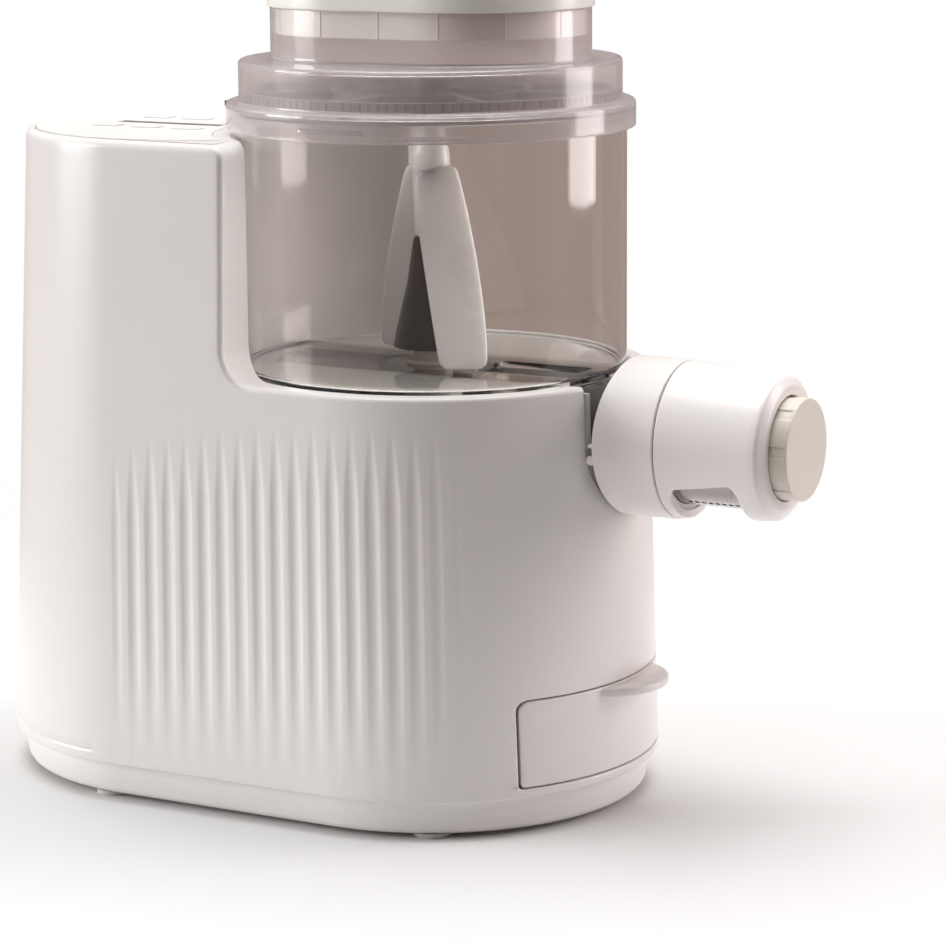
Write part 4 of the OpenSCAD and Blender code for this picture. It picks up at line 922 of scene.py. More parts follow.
def lip_skin():
    """Rows from inside the wall to the tip's edge and back below, columns from end to end."""
    front = wall_sizes(LIP_TOP)[0]
    at_end = math.sqrt(front ** 2 - LIP_HALF ** 2)
    rise = front + LIP_REACH - at_end
    radius = (LIP_HALF ** 2 + rise ** 2) / (2 * rise)
    middle = front + LIP_REACH - radius
    ends = math.atan2(LIP_HALF, at_end - middle)
    t = np.linspace(-ends, ends, 81)
    root = front - 1.2
    inner_t = np.linspace(-math.asin(LIP_HALF / root), math.asin(LIP_HALF / root), 81)
    inner = np.stack([root * np.cos(inner_t), root * np.sin(inner_t)], -1)
    outward = np.stack([np.cos(t), np.sin(t)], -1)
    outer = np.array([middle, 0]) + radius * outward
    section = soft_section(LIP_TOP - LIP_T, LIP_TOP, 1.4, 5)
    rim = outer[None] + section[:, None, :1] * outward[None]
    share = np.linspace(0, 1, 40)[:, None, None]
    plan = inner[None] + share * (rim[-1] - inner)[None]
    far_in = radius - np.linalg.norm(plan - (middle, 0), axis=2)
    beside = np.abs(np.arctan2(plan[..., 1], plan[..., 0] - middle))
    crest = sum(np.exp(-((far_in - d) / 0.42) ** 2) for d in (3.2, 5.0, 6.8))
    top_z = LIP_TOP - 0.45 * (1 - 0.9 * crest) * (1 - ramp(beside, 0.36, 0.48)) \
        * ramp(far_in, 1.8, 2.6) * (1 - ramp(far_in, 7.6, 8.4))
    top = np.concatenate([plan, top_z[..., None]], 2)
    side = np.concatenate([rim, np.broadcast_to(section[:, None, 1:], rim.shape[:2] + (1,))], 2)
    share = np.linspace(1, 0, 12)[:, None, None]
    low = np.concatenate([inner[None] + share * (rim[0] - inner)[None],
                          np.full((12, 81, 1), LIP_TOP - LIP_T)], 2)
    rows = np.concatenate([top, side[::-1][1:], low[1:], top[:1]], 0)
    skin = Skin().grid(rows)
    for column in (0, -1):
        skin.add(rows[:-1, column], [list(range(len(rows) - 1))])
    return skin


piece("drawer_front_panel", drawer_panel(), "drawer", casing_paint,
      replaces=["drawer_front"])
piece("drawer_pull_lip", lip_skin(), "drawer", casing_paint,
      replaces=["drawer_front"])

# %% [markdown]
# ## The base tray
# The tray stands back a little under the casing, so a shadow line parts the two. Its wall
# follows the casing's outline, and its foot curls in. A tray like this is moulded with air
# slots under the motor and a seat for each rubber foot; the slots are cut here, the seats are not.

# %% The base tray
TRAY_Z, TRAY_TOP, TRAY_T, TRAY_INSET, SLOT_X0 = 2.0, 22.0, 3.0, 3.6, -62.0


def slot_outline(x):
    """Half an air slot, 4 mm wide and 30 mm long, with soft corners, from the middle plane."""
    return [(x, 0), (x, -28.5), (x + 0.6, -29.7), (x + 2, -30), (x + 3.4, -29.7), (x + 4, -28.5),
            (x + 4, 0)]


def tray_skin():
    """(inset, z) of the tray's section carried along u, with a slotted flat underneath."""
    u = np.concatenate([np.linspace(0, U_FRONT, 60), np.linspace(U_FRONT, U_SIDE, 24)[1:],
                        np.linspace(U_SIDE, U_BACK, 70)[1:]])
    foot = rounded([(20, TRAY_Z, 0), (6.2, TRAY_Z, 4), (4.3, 12, 6), (TRAY_INSET, TRAY_TOP, 0)],
                   steps=7, closed=False)
    inside = np.array([(TRAY_INSET, TRAY_TOP), (TRAY_INSET + TRAY_T, TRAY_TOP),
                       (TRAY_INSET + TRAY_T, TRAY_Z + TRAY_T + 2),
                       (TRAY_INSET + TRAY_T + 3.5, TRAY_Z + TRAY_T), (20, TRAY_Z + TRAY_T)])
    half = Skin()
    rings = []
    for section in (foot, inside):
        foot_wall = np.stack([wall(u, FOOT_Z, inset)[0] * (1, 1, 0) + (0, 0, z)
                              for inset, z in section])
        half.grid(foot_wall)
        rings.append(foot_wall)
    lines = []
    for ring in (rings[0][0], rings[1][-1]):
        y0 = ring[:, 1].clip(max=0)
        lines.append(np.stack([ring[:, 0], y0], -1))
    slot_x = SLOT_X0 + 9 * np.arange(7)
    for plan, z in ((lines[0], TRAY_Z), (lines[1], TRAY_Z + TRAY_T)):
        middle = []
        x_back, x_front = plan[-1, 0], plan[0, 0]
        for x in slot_x:
            middle += slot_outline(x)
        loop = np.concatenate([plan, line((x_back, 0), middle[0], 6)[1:],
                               np.array(middle), line(middle[-1], (x_front, 0), 6)[1:]])
        flat, faces = flat_patch(loop, 7.0)
        half.add(at_height(flat, z), faces)
    for x in slot_x:
        half.grid(np.stack([at_height(slot_outline(x), z) for z in (TRAY_Z, TRAY_Z + TRAY_T)]))
    return half.mirrored()


# the tray takes the lifted colour, which is painted light
piece("base_tray_shell", tray_skin(), "machine", lit_tray_paint, replaces=["base_tray"])

# %% [markdown]
# ## The bowl
# The bowl is a clear, smoke-tinted moulding that stands on the seat in the casing. It must be a
# real wall with an inside and an outside, because light bends once at each. Its section is
# turned, and the floor is a flat patch with the hole for the spindle and the feed opening
# above the auger. Four short lugs near its edge hold the lid.

# %% The bowl
BOWL_R, BOWL_T, BOWL_LOW, BOWL_TOP, BOWL_FLOOR = 88.0, 2.5, 193.8, 312.0, 3.0
FEED = (28.0, 74.0, 15.0)                   # the feed opening: first x, last x, half width


def circle_loop(radius, n):
    """radius * (cos t, sin t), for n values of t once round."""
    t = np.linspace(0, 2 * np.pi, n, endpoint=False)
    return np.stack([radius * np.cos(t), radius * np.sin(t)], -1)


def box_loop(x0, x1, half, corner=3.0, n=6):
    """A rectangle with round corners, counter-clockwise, with points along its sides."""
    arcs = [arc_2d((x, y), corner, a, a + 90, n) for x, y, a in
            ((x1 - corner, -half + corner, -90), (x1 - corner, half - corner, 0),
             (x0 + corner, half - corner, 90), (x0 + corner, -half + corner, 180))]
    out = []
    for k, arc in enumerate(arcs):
        out += [arc, line(arc[-1], arcs[(k + 1) % 4][0], 5)[1:]]
    return np.concatenate(out)


FLOOR_GRID = 7.0                            # mm between the points of the bowl's floor


def flat_ring(skin, outer, holes, heights):
    """Flat faces between an outer loop and holes at each height, and the holes' own walls."""
    for z in heights:
        flat, faces = flat_patch(outer[z], FLOOR_GRID, holes=holes)
        skin.add(at_height(flat, z), faces)
    for hole in holes:
        skin.grid(np.stack([at_height(hole, z) for z in heights]), wrap_columns=True)


LUGS, LUG_REACH = 4, 20.0                   # how many, and degrees that each one takes


def lug_blocks(skin, r_in, r_out, low, high, first):
    """Short curved blocks on a wall: an angle by height grid on each of their sides."""
    for k in range(LUGS):
        a = np.radians(first + 360 / LUGS * k + np.linspace(-LUG_REACH / 2, LUG_REACH / 2, 13))
        section = rounded([(r_in, low, 0.05), (r_out, low, 0.5), (r_out, high, 0.5),
                           (r_in, high, 0.05)], steps=3)
        rows = np.stack([section[:, None, 0] * np.cos(a), section[:, None, 0] * np.sin(a),
                         section[:, None, 1] + 0 * a], -1)
        skin.grid(rows, wrap_rows=True)
        for end in (0, -1):
            skin.add(rows[:, end], [list(range(len(section)))])
    return skin


def bowl_skin():
    """The wall's section turned about Z, its floor with two holes, and four lugs."""
    section = rounded([(80, BOWL_LOW, 0), (BOWL_R, BOWL_LOW, 2.2), (BOWL_R, BOWL_TOP, 0.9),
                       (BOWL_R - BOWL_T, BOWL_TOP, 0.9),
                       (BOWL_R - BOWL_T, BOWL_LOW + BOWL_FLOOR, 2.0),
                       (80, BOWL_LOW + BOWL_FLOOR, 0)], steps=6, closed=False)
    skin = Skin().grid(turned(section, turns=192), wrap_rows=True)
    rim = circle_loop(80, 192)
    flat_ring(skin, {BOWL_LOW: rim, BOWL_LOW + BOWL_FLOOR: rim},
              [circle_loop(bush_out, 64), box_loop(FEED[0], FEED[1], FEED[2])],
              [BOWL_LOW, BOWL_LOW + BOWL_FLOOR])
    return lug_blocks(skin, BOWL_R - 0.02, BOWL_R + 1.6, 307.5, 309.5, 0)


BUSH_FLANGE = 3.0                           # how far the spindle bush covers the floor
bush_out = float(span_mm("spindle_bush")[1][0]) - BUSH_FLANGE
bowl = piece("mixing_bowl", bowl_skin(), "bowl_unit", bowl_smoke,
             replaces=["bowl"])
bowl.visible_shadow = False                 # a choice: its tint would darken what it holds

# %% [markdown]
# ## The lid
# The lid has a skirt that grips the bowl's lugs, a step, a drum, and a stadium-shaped chimney on
# top. Skirt, step and drum are turned. The drum's top is a flat patch between the round drum
# and the chimney's plan, and the chimney's wall is carried round that plan. Every corner has a
# radius, because those radii make the bright lines round a clear moulding.

# %% The lid
SKIRT_R, SKIRT_Z, STEP_Z, DRUM_R, DRUM_TOP, LID_T = 92.0, 304.0, 316.0, 86.0, 334.5, 2.0
CHIMNEY_L, CHIMNEY_W, CHIMNEY_TOP = 74.5, 54.0, 357.5


def lid_skin():
    """Skirt, step and drum turned about Z, the chimney carried round its plan, and lugs."""
    edge, foot = 1.6, 1.2
    section = rounded([(DRUM_R - 3.5, DRUM_TOP, 0), (DRUM_R, DRUM_TOP, edge),
                       (DRUM_R, STEP_Z, 0.8), (SKIRT_R, STEP_Z, 1.7), (SKIRT_R, SKIRT_Z, 0.8),
                       (SKIRT_R - LID_T, SKIRT_Z, 0.5), (SKIRT_R - LID_T, STEP_Z - LID_T, 0.5),
                       (DRUM_R - LID_T, STEP_Z - LID_T, 0.6),
                       (DRUM_R - LID_T, DRUM_TOP - LID_T, 0.5),
                       (DRUM_R - 3.5, DRUM_TOP - LID_T, 0)], steps=6, closed=False)
    skin = Skin().grid(turned(section, turns=192), wrap_rows=True)
    a = np.radians(np.linspace(0, 90, 7))
    fillet = np.stack([foot - foot * np.sin(a), DRUM_TOP + foot - foot * np.cos(a)], -1)
    wall_up = np.concatenate([fillet, [(0, DRUM_TOP + foot + 0.6), (0, CHIMNEY_TOP - 0.9)],
                              np.stack([0.6 * np.cos(a) - 0.6,
                                        CHIMNEY_TOP - 0.6 + 0.6 * np.sin(a)], -1),
                              np.stack([-LID_T + 0.6 - 0.6 * np.sin(a),
                                        CHIMNEY_TOP - 0.6 + 0.6 * np.cos(a)], -1),
                              [(-LID_T, CHIMNEY_TOP - 0.9), (-LID_T, DRUM_TOP - LID_T + 0.4),
                               (-LID_T, DRUM_TOP - LID_T)]])
    chimney = carried(wall_up, CHIMNEY_L, CHIMNEY_W, CHIMNEY_W, around=40, along=10)
    skin.grid(chimney, wrap_columns=True)
    rim = circle_loop(DRUM_R - 3.5, 192)
    for z, ring in ((DRUM_TOP, chimney[0]), (DRUM_TOP - LID_T, chimney[-1])):
        hole = ring[:, :2]
        hole = hole[np.linalg.norm(hole - np.roll(hole, 1, 0), axis=1) > 1e-6]
        flat, faces = flat_patch(rim, 6.0, holes=[hole])
        skin.add(at_height(flat, z), faces)
    return lug_blocks(skin, SKIRT_R - LID_T - 1.6, SKIRT_R - LID_T + 0.02, 305.3, 307.2, 30)


lid = piece("smoke_lid_shell", lid_skin(), "lid_unit", lid_smoke,
            replaces=["lid"])
lid.visible_shadow = False

# %% [markdown]
# ## The cap and the seal
# The ivory cap lies on the chimney, and its skirt hangs into it. Thin upright ribs on the skirt
# keep it tight. The seal is a dark band with two lips that shows as a line under the lid.

# %% The cap and the seal
CAP_OVER, CAP_H, CAP_SKIRT = 1.3, 8.5, 12.0


def cap_skin():
    """A section carried round the chimney's plan, with flat faces and ribs on its skirt."""
    half_l, half_w = CHIMNEY_L + CAP_OVER, CHIMNEY_W + CAP_OVER
    top = CHIMNEY_TOP + CAP_H
    drop = LID_T + 0.5 + CAP_OVER
    section = rounded([(-20, top, 0), (0, top, 2.2), (0, CHIMNEY_TOP + 0.1, 0.6),
                       (-drop, CHIMNEY_TOP + 0.1, 0.3), (-drop, CHIMNEY_TOP - CAP_SKIRT, 0.5),
                       (-drop - 2, CHIMNEY_TOP - CAP_SKIRT, 0.5), (-drop - 2, CHIMNEY_TOP, 1.0),
                       (-20, CHIMNEY_TOP, 0)], steps=5, closed=False)
    rows = carried(section, half_l, half_w, half_w, around=40, along=12)
    skin = Skin().grid(rows, wrap_columns=True)
    for row in (rows[0], rows[-1]):
        keep = np.linalg.norm(row - np.roll(row, 1, 0), axis=1) > 1e-6
        loop = row[keep]
        flat, faces = flat_patch(loop[:, :2], 9.0)
        skin.add(at_height(flat, row[0, 2]), faces)
    # ribs: small blocks at even steps of the skirt's own length, each turned to face outwards
    r, straight = half_w - drop, half_l - half_w
    length = 4 * straight + 2 * np.pi * r
    for s in (np.arange(14) + 0.5) * length / 14 + 3.0:
        s = s % length
        first = 2 * straight
        if s < first:
            x, y, t = straight - s, -r, -np.pi / 2
        elif s < first + np.pi * r:
            t = -np.pi / 2 - (s - first) / r
            x, y = -straight + r * np.cos(t), r * np.sin(t)
        elif s < 2 * first + np.pi * r:
            x, y, t = -straight + (s - first - np.pi * r), r, np.pi / 2
        else:
            t = np.pi / 2 - (s - 2 * first - np.pi * r) / r
            x, y = straight + r * np.cos(t), r * np.sin(t)
        c, d = np.cos(t), np.sin(t)
        closed_block(skin, soft_section(CHIMNEY_TOP - CAP_SKIRT + 0.6, CHIMNEY_TOP - 0.4, 0.2, 2),
                     0.3, 0.45, 0.2, around=2,
                     turn=lambda p: np.stack([x + p[..., 0] * c - p[..., 1] * d,
                                              y + p[..., 0] * d + p[..., 1] * c, p[..., 2]], -1))
    return skin


def seal_skin():
    """A ring whose outer and inner faces are both hollow in the middle, turned about Z."""
    low, high = span_mm("lid_seal")
    r_out, r_in = high[0], BOWL_R - BOWL_T - 1.6
    z0, z1 = low[2], high[2]
    section = rounded([(r_in, z0, 0.35), (r_out, z0, 0.35), (r_out - 0.5, (z0 + z1) / 2, 0.3),
                       (r_out, z1, 0.35), (r_in, z1, 0.35), (r_in + 0.5, (z0 + z1) / 2, 0.3)],
                      steps=3)
    return Skin().grid(turned(section, turns=160), wrap_rows=True, wrap_columns=True)


piece("chimney_cap", cap_skin(), "cap", cap_paint, replaces=["feed_cap"])
piece("lid_sealing_ring", seal_skin(), "seal", seal_rubber,
      replaces=["lid_seal"])

# %% [markdown]
# ## The stirrer
# Two broad paddles hang from a neck and lean outwards down to the bowl's floor. A paddle is a
# stack of thin sections, each with its own height, distance from the axis, width and thickness.
# These are interpolated between a few chosen stations and then averaged over five neighbours,
# which takes the kinks out. The neck is turned, and swells into the paddles' shoulder.

# %% The stirrer and the sleeve at its foot
STATIONS = np.array([  # height, distance, width, thickness
    [199.0, 38.0, 21.0, 2.6], [212.0, 34.6, 23.0, 3.0], [226.0, 30.0, 24.0, 3.2],
    [246.0, 22.0, 24.2, 3.6], [265.0, 13.2, 23.4, 4.4], [277.0, 8.0, 21.0, 5.4],
    [285.5, 5.2, 18.4, 6.0]])
PADDLE_AT, PADDLE_TURN = -40.0, -20.0


def paddle(skin, at):
    """Sections (height) x (round the section): a flat plate with soft edges and a slight dish."""
    z = np.linspace(STATIONS[0, 0], STATIONS[-1, 0], 48)
    blend = np.array([np.interp(z, STATIONS[:, 0], STATIONS[:, k]) for k in (1, 2, 3)])
    kernel = np.ones(5) / 5
    wide = np.concatenate([np.repeat(blend[:, :1], 2, 1), blend, np.repeat(blend[:, -1:], 2, 1)], 1)
    away, width, thick = (np.convolve(w, kernel, "valid") for w in wide)
    # the head of the paddle slopes and has round corners: it narrows over its last 4.5 mm
    top = np.sqrt(np.clip(1 - np.clip((z - (z[-1] - 4.5)) / 4.5, 0, 1) ** 2, 0.02, 1))
    foot = np.sqrt(np.clip(1 - np.clip((z[0] + 4 - z) / 4, 0, 1) ** 2, 0.05, 1))
    half = width / 2 - 3.2 * (1 - top) - 3.0 * (1 - foot)
    t = np.linspace(0, 2 * np.pi, 40, endpoint=False)
    c, s = np.cos(t), np.sin(t)
    along = np.sign(c) * np.abs(c) ** 0.35
    across = np.sign(s) * np.abs(s) ** 0.55
    w = half[:, None] * along
    dish = 1.3 * (1 - (w / 12.0) ** 2)
    d = thick[:, None] / 2 * across + dish - 1.0
    turn = math.radians(PADDLE_TURN)
    # the section turned about its own middle, then the paddle set at its angle
    x = away[:, None] + d * math.cos(turn) - w * math.sin(turn)
    y = d * math.sin(turn) + w * math.cos(turn)
    a = math.radians(at)
    rise = z[:, None] + 0.16 * w * ramp(z, 262, 285)[:, None]
    rows = np.stack([x * math.cos(a) - y * math.sin(a), x * math.sin(a) + y * math.cos(a),
                     rise], -1)
    n = len(t)
    skin.grid(rows, wrap_columns=True)
    skin.add(rows[0], [list(range(n))])
    skin.add(rows[-1], [list(range(n))])


def neck_section():
    """(radius, height) of the neck, from the sleeve to the stirrer's top."""
    top = span_mm("stirrer")[1][2]
    return rounded([(0, SLEEVE_TOP + 0.3, 0), (7.6, SLEEVE_TOP + 0.3, 0.5), (8.0, 262, 3),
                    (8.6, 284, 8), (8.2, 292, 5), (6.2, 301, 10), (6.2, top - 0.5, 0.5),
                    (0, top, 0)], steps=6, closed=False)


SLEEVE_TOP = float(span_mm("hub_sleeve")[1][2])
stirring = Skin().grid(turned(neck_section(), turns=64), wrap_rows=True)
for at in (PADDLE_AT, PADDLE_AT + 180):
    paddle(stirring, at)
# the paddles' white is partly painted backlight
piece("stirring_paddles", stirring, "stirrer_unit", white_and_backlight_paint,
      replaces=["stirrer"], smooth=60)

# %% [markdown]
# ## The head
# The head stands in front of the casing: a collar, then the nozzle hood with its opening
# underneath. Both are turned about the auger's axis. The collar's back edge is cut to a large
# upright round, so that it keeps an even gap to the curved casing, and a pin and a rib stand
# back from it into the slot. The opening is cut straight up, so on the hood's own map (distance
# round it, and x) it is a rounded rectangle whose sides bow a little. The patch round it is
# filled on that map and bent back onto the cone.

# %% The collar, its pin and its rib
AUGER_Z = 171.0
COLLAR_BACK, COLLAR_FRONT, COLLAR_R, WRAP_R = 101.47, 126.47, 35.3, 160.0


def collar_skin():
    """A turned section whose back edge is moved back by WRAP_R - sqrt(WRAP_R^2 - y^2)."""
    x0, x1, inner = COLLAR_BACK, COLLAR_FRONT, COLLAR_R - 3
    section = rounded([(25.3, x0, 0.4), (inner, x0, 0), (inner, x0 - 0.06, 0.02),
                       (COLLAR_R, x0 - 0.06, 0.9), (COLLAR_R, x1, 0.7), (28.3, x1, 0.2),
                       (28.3, x1 - 3, 0.2), (inner, x1 - 3, 0.6), (inner, x0 + 3, 1.0),
                       (25.3, x0 + 3, 0.3)], steps=6)
    r, along = section[:, 0], section[:, 1]
    moved = (along < x0 - 0.02) | ((r > inner + 0.5) & (along < x0 + 2))
    rows = turned(section, "x", 160, AUGER_Z)
    rows[..., 0] -= (WRAP_R - np.sqrt(WRAP_R ** 2 - rows[..., 1] ** 2)) * moved
    skin = Skin().grid(rows, wrap_rows=True, wrap_columns=True)
    on_x = lambda p: np.stack([p[..., 2], p[..., 0], p[..., 1]], -1)
    reach = soft_section(COLLAR_BACK - 6.5, COLLAR_BACK + 1.5, 0.4)
    closed_block(skin, reach, 2.1, 2.1, 2.1, (-SLOT_HALF - 1.5, AUGER_Z - 6.5), on_x)
    closed_block(skin, reach, 1.5, 0.8, 0.5, (-SLOT_HALF - 1.0, AUGER_Z - 0.2), on_x)
    return skin


# the collar and the hood take the head's lifted colour, which is painted light
piece("head_collar_shell", collar_skin(), "head", lit_head_paint,
      replaces=["head_collar"])

# %% The nozzle hood and the opening under it
HOOD_BACK, HOOD_FRONT, HOOD_R, NOZZLE_R, HOOD_T = 126.8, 176.0, 34.7, 32.0, 3.0
OUTLET = (131.3, 163.3, 29.5, 4.0)          # first x, last x, half width, corner
KNOB_R, MAP_R = 22.5, 33.0                  # MAP_R turns angles round the hood into lengths


def hood_radius(x):
    """The cone's radius falls evenly from the back edge to the front edge."""
    share = (x - HOOD_BACK - 1) / (HOOD_FRONT - 6 - HOOD_BACK - 1)
    return HOOD_R + (NOZZLE_R + 0.15 - HOOD_R) * share


def on_hood(s, x, inward=0.0):
    """Map (s, x) to space: s is the distance from the underside, at radius MAP_R."""
    t = s / MAP_R - np.pi / 2
    r = hood_radius(x) - inward
    point = np.stack([x, r * np.cos(t), AUGER_Z + r * np.sin(t)], -1)
    normal = np.stack([0 * t, np.cos(t), np.sin(t)], -1)
    return point, normal


def hood_skin():
    """Front and back edges turned about X, and the cone between them with its opening."""
    turns = 168
    round_t = np.linspace(-np.pi, np.pi, turns + 1)
    s_line = round_t * MAP_R
    x0, x1 = HOOD_BACK + 1.0, HOOD_FRONT - 6.0
    skin = Skin()
    front = rounded([(hood_radius(x1 - 1), x1 - 1, 0), (hood_radius(x1), x1, 1.5),
                     (NOZZLE_R - 0.35, HOOD_FRONT - 2.4, 3.0), (NOZZLE_R - 4.6, HOOD_FRONT, 3.4),
                     (KNOB_R + 0.8, HOOD_FRONT, 0.5), (KNOB_R + 0.8, HOOD_FRONT - 4, 0.2),
                     (NOZZLE_R - 3.4, HOOD_FRONT - 4, 0.4),
                     (hood_radius(x1 - 1) - HOOD_T, x1 - 1, 0)],
                    steps=6, closed=False)
    back = rounded([(hood_radius(x0) - HOOD_T, x0 + 2, 0), (28.3, x0 + 2, 0.2),
                    (28.3, HOOD_BACK, 0.2), (HOOD_R, HOOD_BACK, 0.7),
                    (hood_radius(x0 + 2), x0 + 2, 0)],
                   steps=5, closed=False)
    for section in (front, back):
        t = (round_t - np.pi / 2)[:, None]
        r, along = section[None, :, 0], section[None, :, 1] + 0 * t
        skin.grid(np.stack([along, r * np.cos(t), AUGER_Z + r * np.sin(t)], -1))
    xa, xb, half, corner = OUTLET
    grow = 0.7
    plan = box_loop(xa - grow, xb + grow, half + grow, corner + grow, 12)
    hole = np.stack([MAP_R * np.arcsin(plan[:, 1] / hood_radius(plan[:, 0])), plan[:, 0]], -1)
    u0, u1 = x0 + 2, x1 - 1
    sides = np.linspace(u0, u1, 12)
    loop = np.concatenate([np.stack([s_line, np.full(turns + 1, u0)], -1),
                           np.stack([np.full(10, s_line[-1]), sides[1:-1]], -1),
                           np.stack([s_line[::-1], np.full(turns + 1, u1)], -1),
                           np.stack([np.full(10, s_line[0]), sides[-2:0:-1]], -1)])
    flat, faces = flat_patch(loop, (2.6, 2.6), holes=[hole])
    for inward in (0.0, HOOD_T):
        skin.add(on_hood(flat[:, 0], flat[:, 1], inward)[0], faces)
    point, normal = on_hood(hole[:, 0], hole[:, 1])
    gap = plan - np.clip(plan, (xa + corner, -half + corner), (xb - corner, half - corner))
    flat_in = -unit(gap)
    inward = np.stack([flat_in[:, 0], flat_in[:, 1], 0 * flat_in[:, 0]], -1)
    edge = rolled_edge(point, normal, along_surface(inward, normal), grow, HOOD_T)
    back_row = on_hood(hole[:, 0], hole[:, 1], HOOD_T)[0]
    skin.grid(np.concatenate([edge, back_row[:, None]], 1), wrap_rows=True)
    return skin


piece("nozzle_hood_shell", hood_skin(), "head", lit_head_paint,
      replaces=["nozzle_hood"])

# %% [markdown]
# ## The end knob
# A flat-faced knob turns in the front of the hood. Its rim has eight shallow grooves for the
# fingers. The radius is cut down inside each groove with a soft step, and the cut runs out
# where the rim rolls over to the face.

# %% The end knob
KNOB_FACE = 184.0
GROOVES, GROOVE_HALF, GROOVE_DEPTH, GROOVE_AT = 8, 6.6, 0.6, 174.0


def knob_wobble(t, along, r):
    """Minus the groove's depth where the angle to the nearest groove is small."""
    pitch = 360 / GROOVES
    angle = (np.degrees(t) - GROOVE_AT + pitch / 2) % pitch - pitch / 2
    inside = 1 - ramp(np.abs(angle), GROOVE_HALF - 0.7, GROOVE_HALF + 0.7)
    shown = (r > KNOB_R - 1.2) * (1 - ramp(along, KNOB_FACE - 1.6, KNOB_FACE - 0.9))
    return -GROOVE_DEPTH * inside * shown


def knob_skin():
    """The knob's section turned about X, with the grooves as a wobble of its radius."""
    low = span_mm("end_knob")[0]
    section = rounded([(0, KNOB_FACE, 0), (KNOB_R - 1.0, KNOB_FACE, 0), (KNOB_R, KNOB_FACE, 1.1),
                       (KNOB_R, HOOD_FRONT - 4.3, 0.2), (KNOB_R + 4, HOOD_FRONT - 4.3, 0.3),
                       (KNOB_R + 4, low[0], 0.3), (0, low[0], 0)], steps=5, closed=False)
    rim = np.stack([np.full(9, KNOB_R), np.linspace(KNOB_FACE - 1.4, HOOD_FRONT - 3, 9)], -1)
    after = int(np.argmax(section[:, 1] < KNOB_FACE - 1.2))
    section = np.concatenate([section[:after], rim, section[after:]])
    return Skin().grid(turned(section, "x", 360, AUGER_Z, knob_wobble), wrap_rows=True)


piece("end_knob_cap", knob_skin(), "knob", knob_paint, replaces=["end_knob"])

# %% [markdown]
# ## Finishes for the solids that stay as they are
# Gears, screws, shafts, boards and the small parts of the panel already have their right shape.
# Each only needs the finish of its real material, so one table pairs solids with finishes. All of
# an object's material slots get the finish.

# %% One finish for each remaining solid
FINISHES = {
    panel_paint: ["top_panel"],
    key_paint: ["key_start", "key_mode", "key_water", "key_plus", "key_minus"],
    display_glass: ["display_window"],
    black_paint: ["lid_lock", "power_inlet"],
    board_mask: ["control_board", "drive_board"],
    foot_rubber: ["feet"],
    inner_paint: ["cradle", "drawer_runners", "drawer_tray"],
    plate_metal: ["front_gear_plate", "rear_gear_plate", "plate_spacers"],
    shaft_metal: ["plate_screws", "motor_screws", "case_screws", "idler_pin", "output_shaft",
                  "spindle", "auger_shaft"],
    bush_bronze: ["shaft_bushes"],
    motor_paint: ["motor_can", "rotor"],
    dark_paint: ["motor_end_cap", "cooling_fan", "auger_coupler", "hub_sleeve"],
    acetal: ["motor_pinion", "idler_gear", "output_gear", "crown_gear", "auger_pinion",
             "barrel_bush", "spindle_bush"],
    contact_brass: ["inlet_pins"],
    barrel_smoke: ["barrel"],
    grate_smoke: ["lid_grate"],
    die_alloy: ["die"],
    die_rubber: ["die_seal"],
    # the auger screw shares the white with its painted backlight
    white_and_backlight_paint: ["auger_screw"],
}
for paint, names in FINISHES.items():
    for name in names:
        for place in node[name].material_slots:
            place.material = paint
left = set(node) - {n for names in FINISHES.values() for n in names}
print("solids with a skin of their own:", sorted(left))

# %% [markdown]
# ## Studio
# A product like this stands on a white table in a white studio that is dark only behind the
# camera. So faces that look to either side are light, faces that look to the camera are darker,
# and clear walls show a dark band between two light ones. Soft lights on the left, behind on the
# right and overhead add to that. The table is a white sheet that fades into the surroundings.

# %% Floor, lights and surroundings
def soft_light(name, at, aim, width, height, watts, colour=(1, 1, 1)):
    """A rectangular light at a point (mm), turned to face its aim."""
    light = bpy.data.lights.new(name, "AREA")
    light.shape, light.size, light.size_y = "RECTANGLE", width / 1000, height / 1000
    light.energy, light.color = watts, colour
    lamp = bpy.data.objects.new(name, light)
    at, aim = Vector(at) / 1000, Vector(aim) / 1000
    lamp.location = at
    lamp.rotation_euler = (aim - at).to_track_quat("-Z", "Y").to_euler()
    bpy.context.scene.collection.objects.link(lamp)
    return lamp


def pale_floor():
    """A disc of 1.2 m radius at the table's height, as rings of points (r cos t, r sin t, 0).

    It fades into the white surroundings: its alpha falls from 1 to 0 with the distance from the
    middle, by a smooth step.
    """
    r = np.array([0.001, 0.2, 0.4, 0.6, 0.8, 1.0, 1.2])[:, None]
    t = np.linspace(0, 2 * np.pi, 64, endpoint=False)[None]
    points = np.stack([r * np.cos(t), r * np.sin(t), 0 * r * t], -1)
    mesh = bpy.data.meshes.new("studio_floor")
    mesh.from_pydata(points.reshape(-1, 3).tolist(), [],
                     grid_faces(7, 64, wrap_columns=True) + [list(range(64))])
    floor = bpy.data.objects.new("studio_floor", mesh)
    bpy.context.scene.collection.objects.link(floor)
    sheet = finish("studio_floor", (0.74, 0.74, 0.74), rough=0.6, bump=0, drift=0)
    tree = sheet.node_tree
    place = tree.nodes.new("ShaderNodeTexCoord")
    length = tree.nodes.new("ShaderNodeVectorMath")
    length.operation = "LENGTH"
    tree.links.new(place.outputs["Object"], length.inputs[0])
    fade = tree.nodes.new("ShaderNodeMapRange")
    fade.interpolation_type = "SMOOTHSTEP"
    for name, value in (("From Min", 0.34), ("From Max", 0.85), ("To Min", 1.0), ("To Max", 0.0)):
        fade.inputs[name].default_value = value
    tree.links.new(length.outputs["Value"], fade.inputs["Value"])
    tree.links.new(fade.outputs[0], tree.nodes["Principled BSDF"].inputs["Alpha"])
    mesh.materials.append(sheet)
    return floor


DARK_SIDE = -40.0                           # degrees from +X to the middle of the dark patch


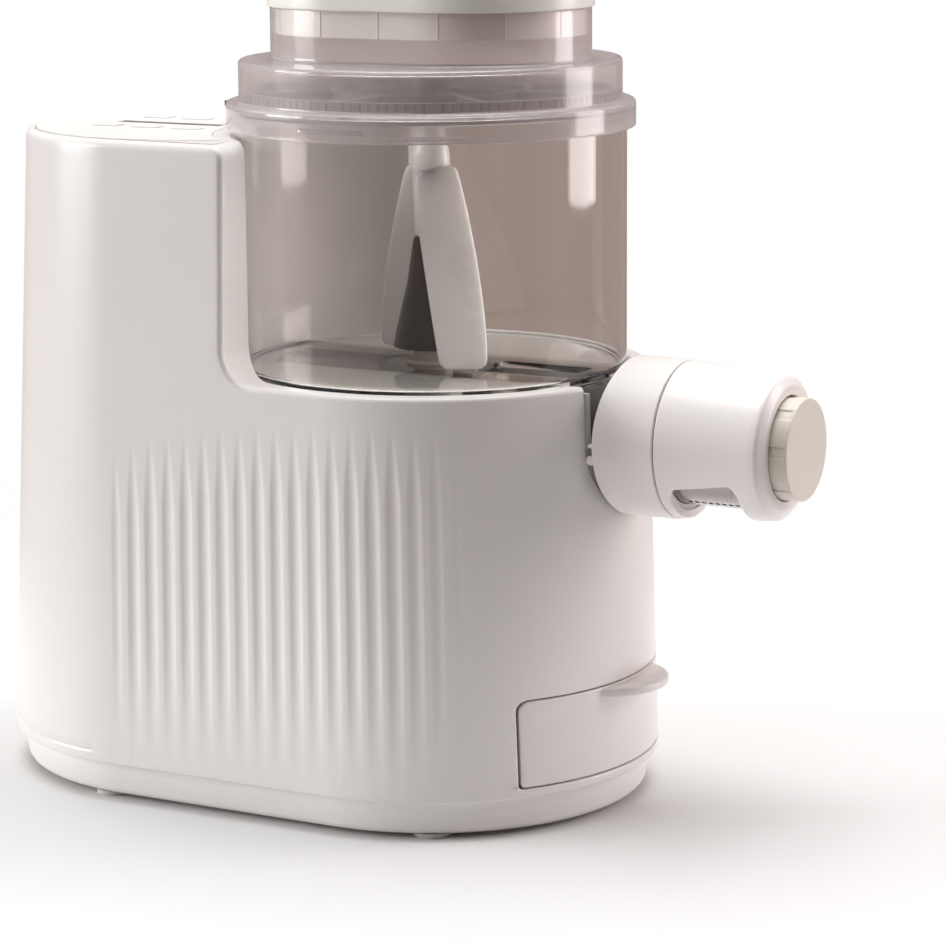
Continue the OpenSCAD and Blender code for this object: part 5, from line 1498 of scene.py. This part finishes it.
def surroundings(seen, room, given, dark):
    """White to the camera, the room's colour through a clear wall, and given to all else.

    The light that is given leaves out a round dark patch, where the angle between a direction
    and DARK_SIDE is below about 50: their dot product is mapped to a share of dark by a smooth
    step.
    """
    world = bpy.data.worlds.new("studio_air")
    bpy.context.scene.world = world
    world.use_nodes = True
    tree = world.node_tree
    tree.nodes.clear()
    place = tree.nodes.new("ShaderNodeTexCoord")
    dot = tree.nodes.new("ShaderNodeVectorMath")
    dot.operation = "DOT_PRODUCT"
    a = math.radians(DARK_SIDE)
    dot.inputs[1].default_value = (math.cos(a), math.sin(a), 0.1)
    tree.links.new(place.outputs["Generated"], dot.inputs[0])
    level = tree.nodes.new("ShaderNodeMapRange")
    level.interpolation_type = "SMOOTHSTEP"
    for name, value in (("From Min", 0.5), ("From Max", 0.78), ("To Min", given), ("To Max", dark)):
        level.inputs[name].default_value = value
    tree.links.new(dot.outputs["Value"], level.inputs["Value"])
    studio = tree.nodes.new("ShaderNodeBackground")
    tree.links.new(level.outputs[0], studio.inputs["Strength"])
    paper = tree.nodes.new("ShaderNodeBackground")
    paper.inputs["Strength"].default_value = seen
    studio.inputs["Color"].default_value = (1, 0.81, 0.785, 1)
    paper.inputs["Color"].default_value = (1, 1, 1, 1)
    ray = tree.nodes.new("ShaderNodeLightPath")
    mix = tree.nodes.new("ShaderNodeMixShader")
    tree.links.new(ray.outputs["Is Camera Ray"], mix.inputs[0])
    behind = tree.nodes.new("ShaderNodeBackground")
    behind.inputs["Color"].default_value = (*room, 1)
    through = tree.nodes.new("ShaderNodeMixShader")
    tree.links.new(ray.outputs["Is Transmission Ray"], through.inputs[0])
    tree.links.new(studio.outputs[0], through.inputs[1])
    tree.links.new(behind.outputs[0], through.inputs[2])
    tree.links.new(through.outputs[0], mix.inputs[1])
    tree.links.new(paper.outputs[0], mix.inputs[2])
    out = tree.nodes.new("ShaderNodeOutputWorld")
    tree.links.new(mix.outputs[0], out.inputs["Surface"])


pale_floor()
surroundings(seen=1.0, room=(0.50, 0.40, 0.355), given=0.37, dark=0.0)
soft_light("left_softbox", (-2700, -1500, 900), (-60, 0, 170), 1500, 1500, 66, (0.94, 0.99, 1))
soft_light("right_softbox", (1600, 1200, 700), (40, 0, 170), 900, 1400, 22, (1, 0.94, 0.955))
soft_light("top_softbox", (-100, 200, 2200), (0, 0, 150), 1800, 1800, 54, (0.96, 1, 0.995))
bpy.context.scene.view_settings.view_transform = "Standard"
bpy.context.scene.view_settings.look = "None"
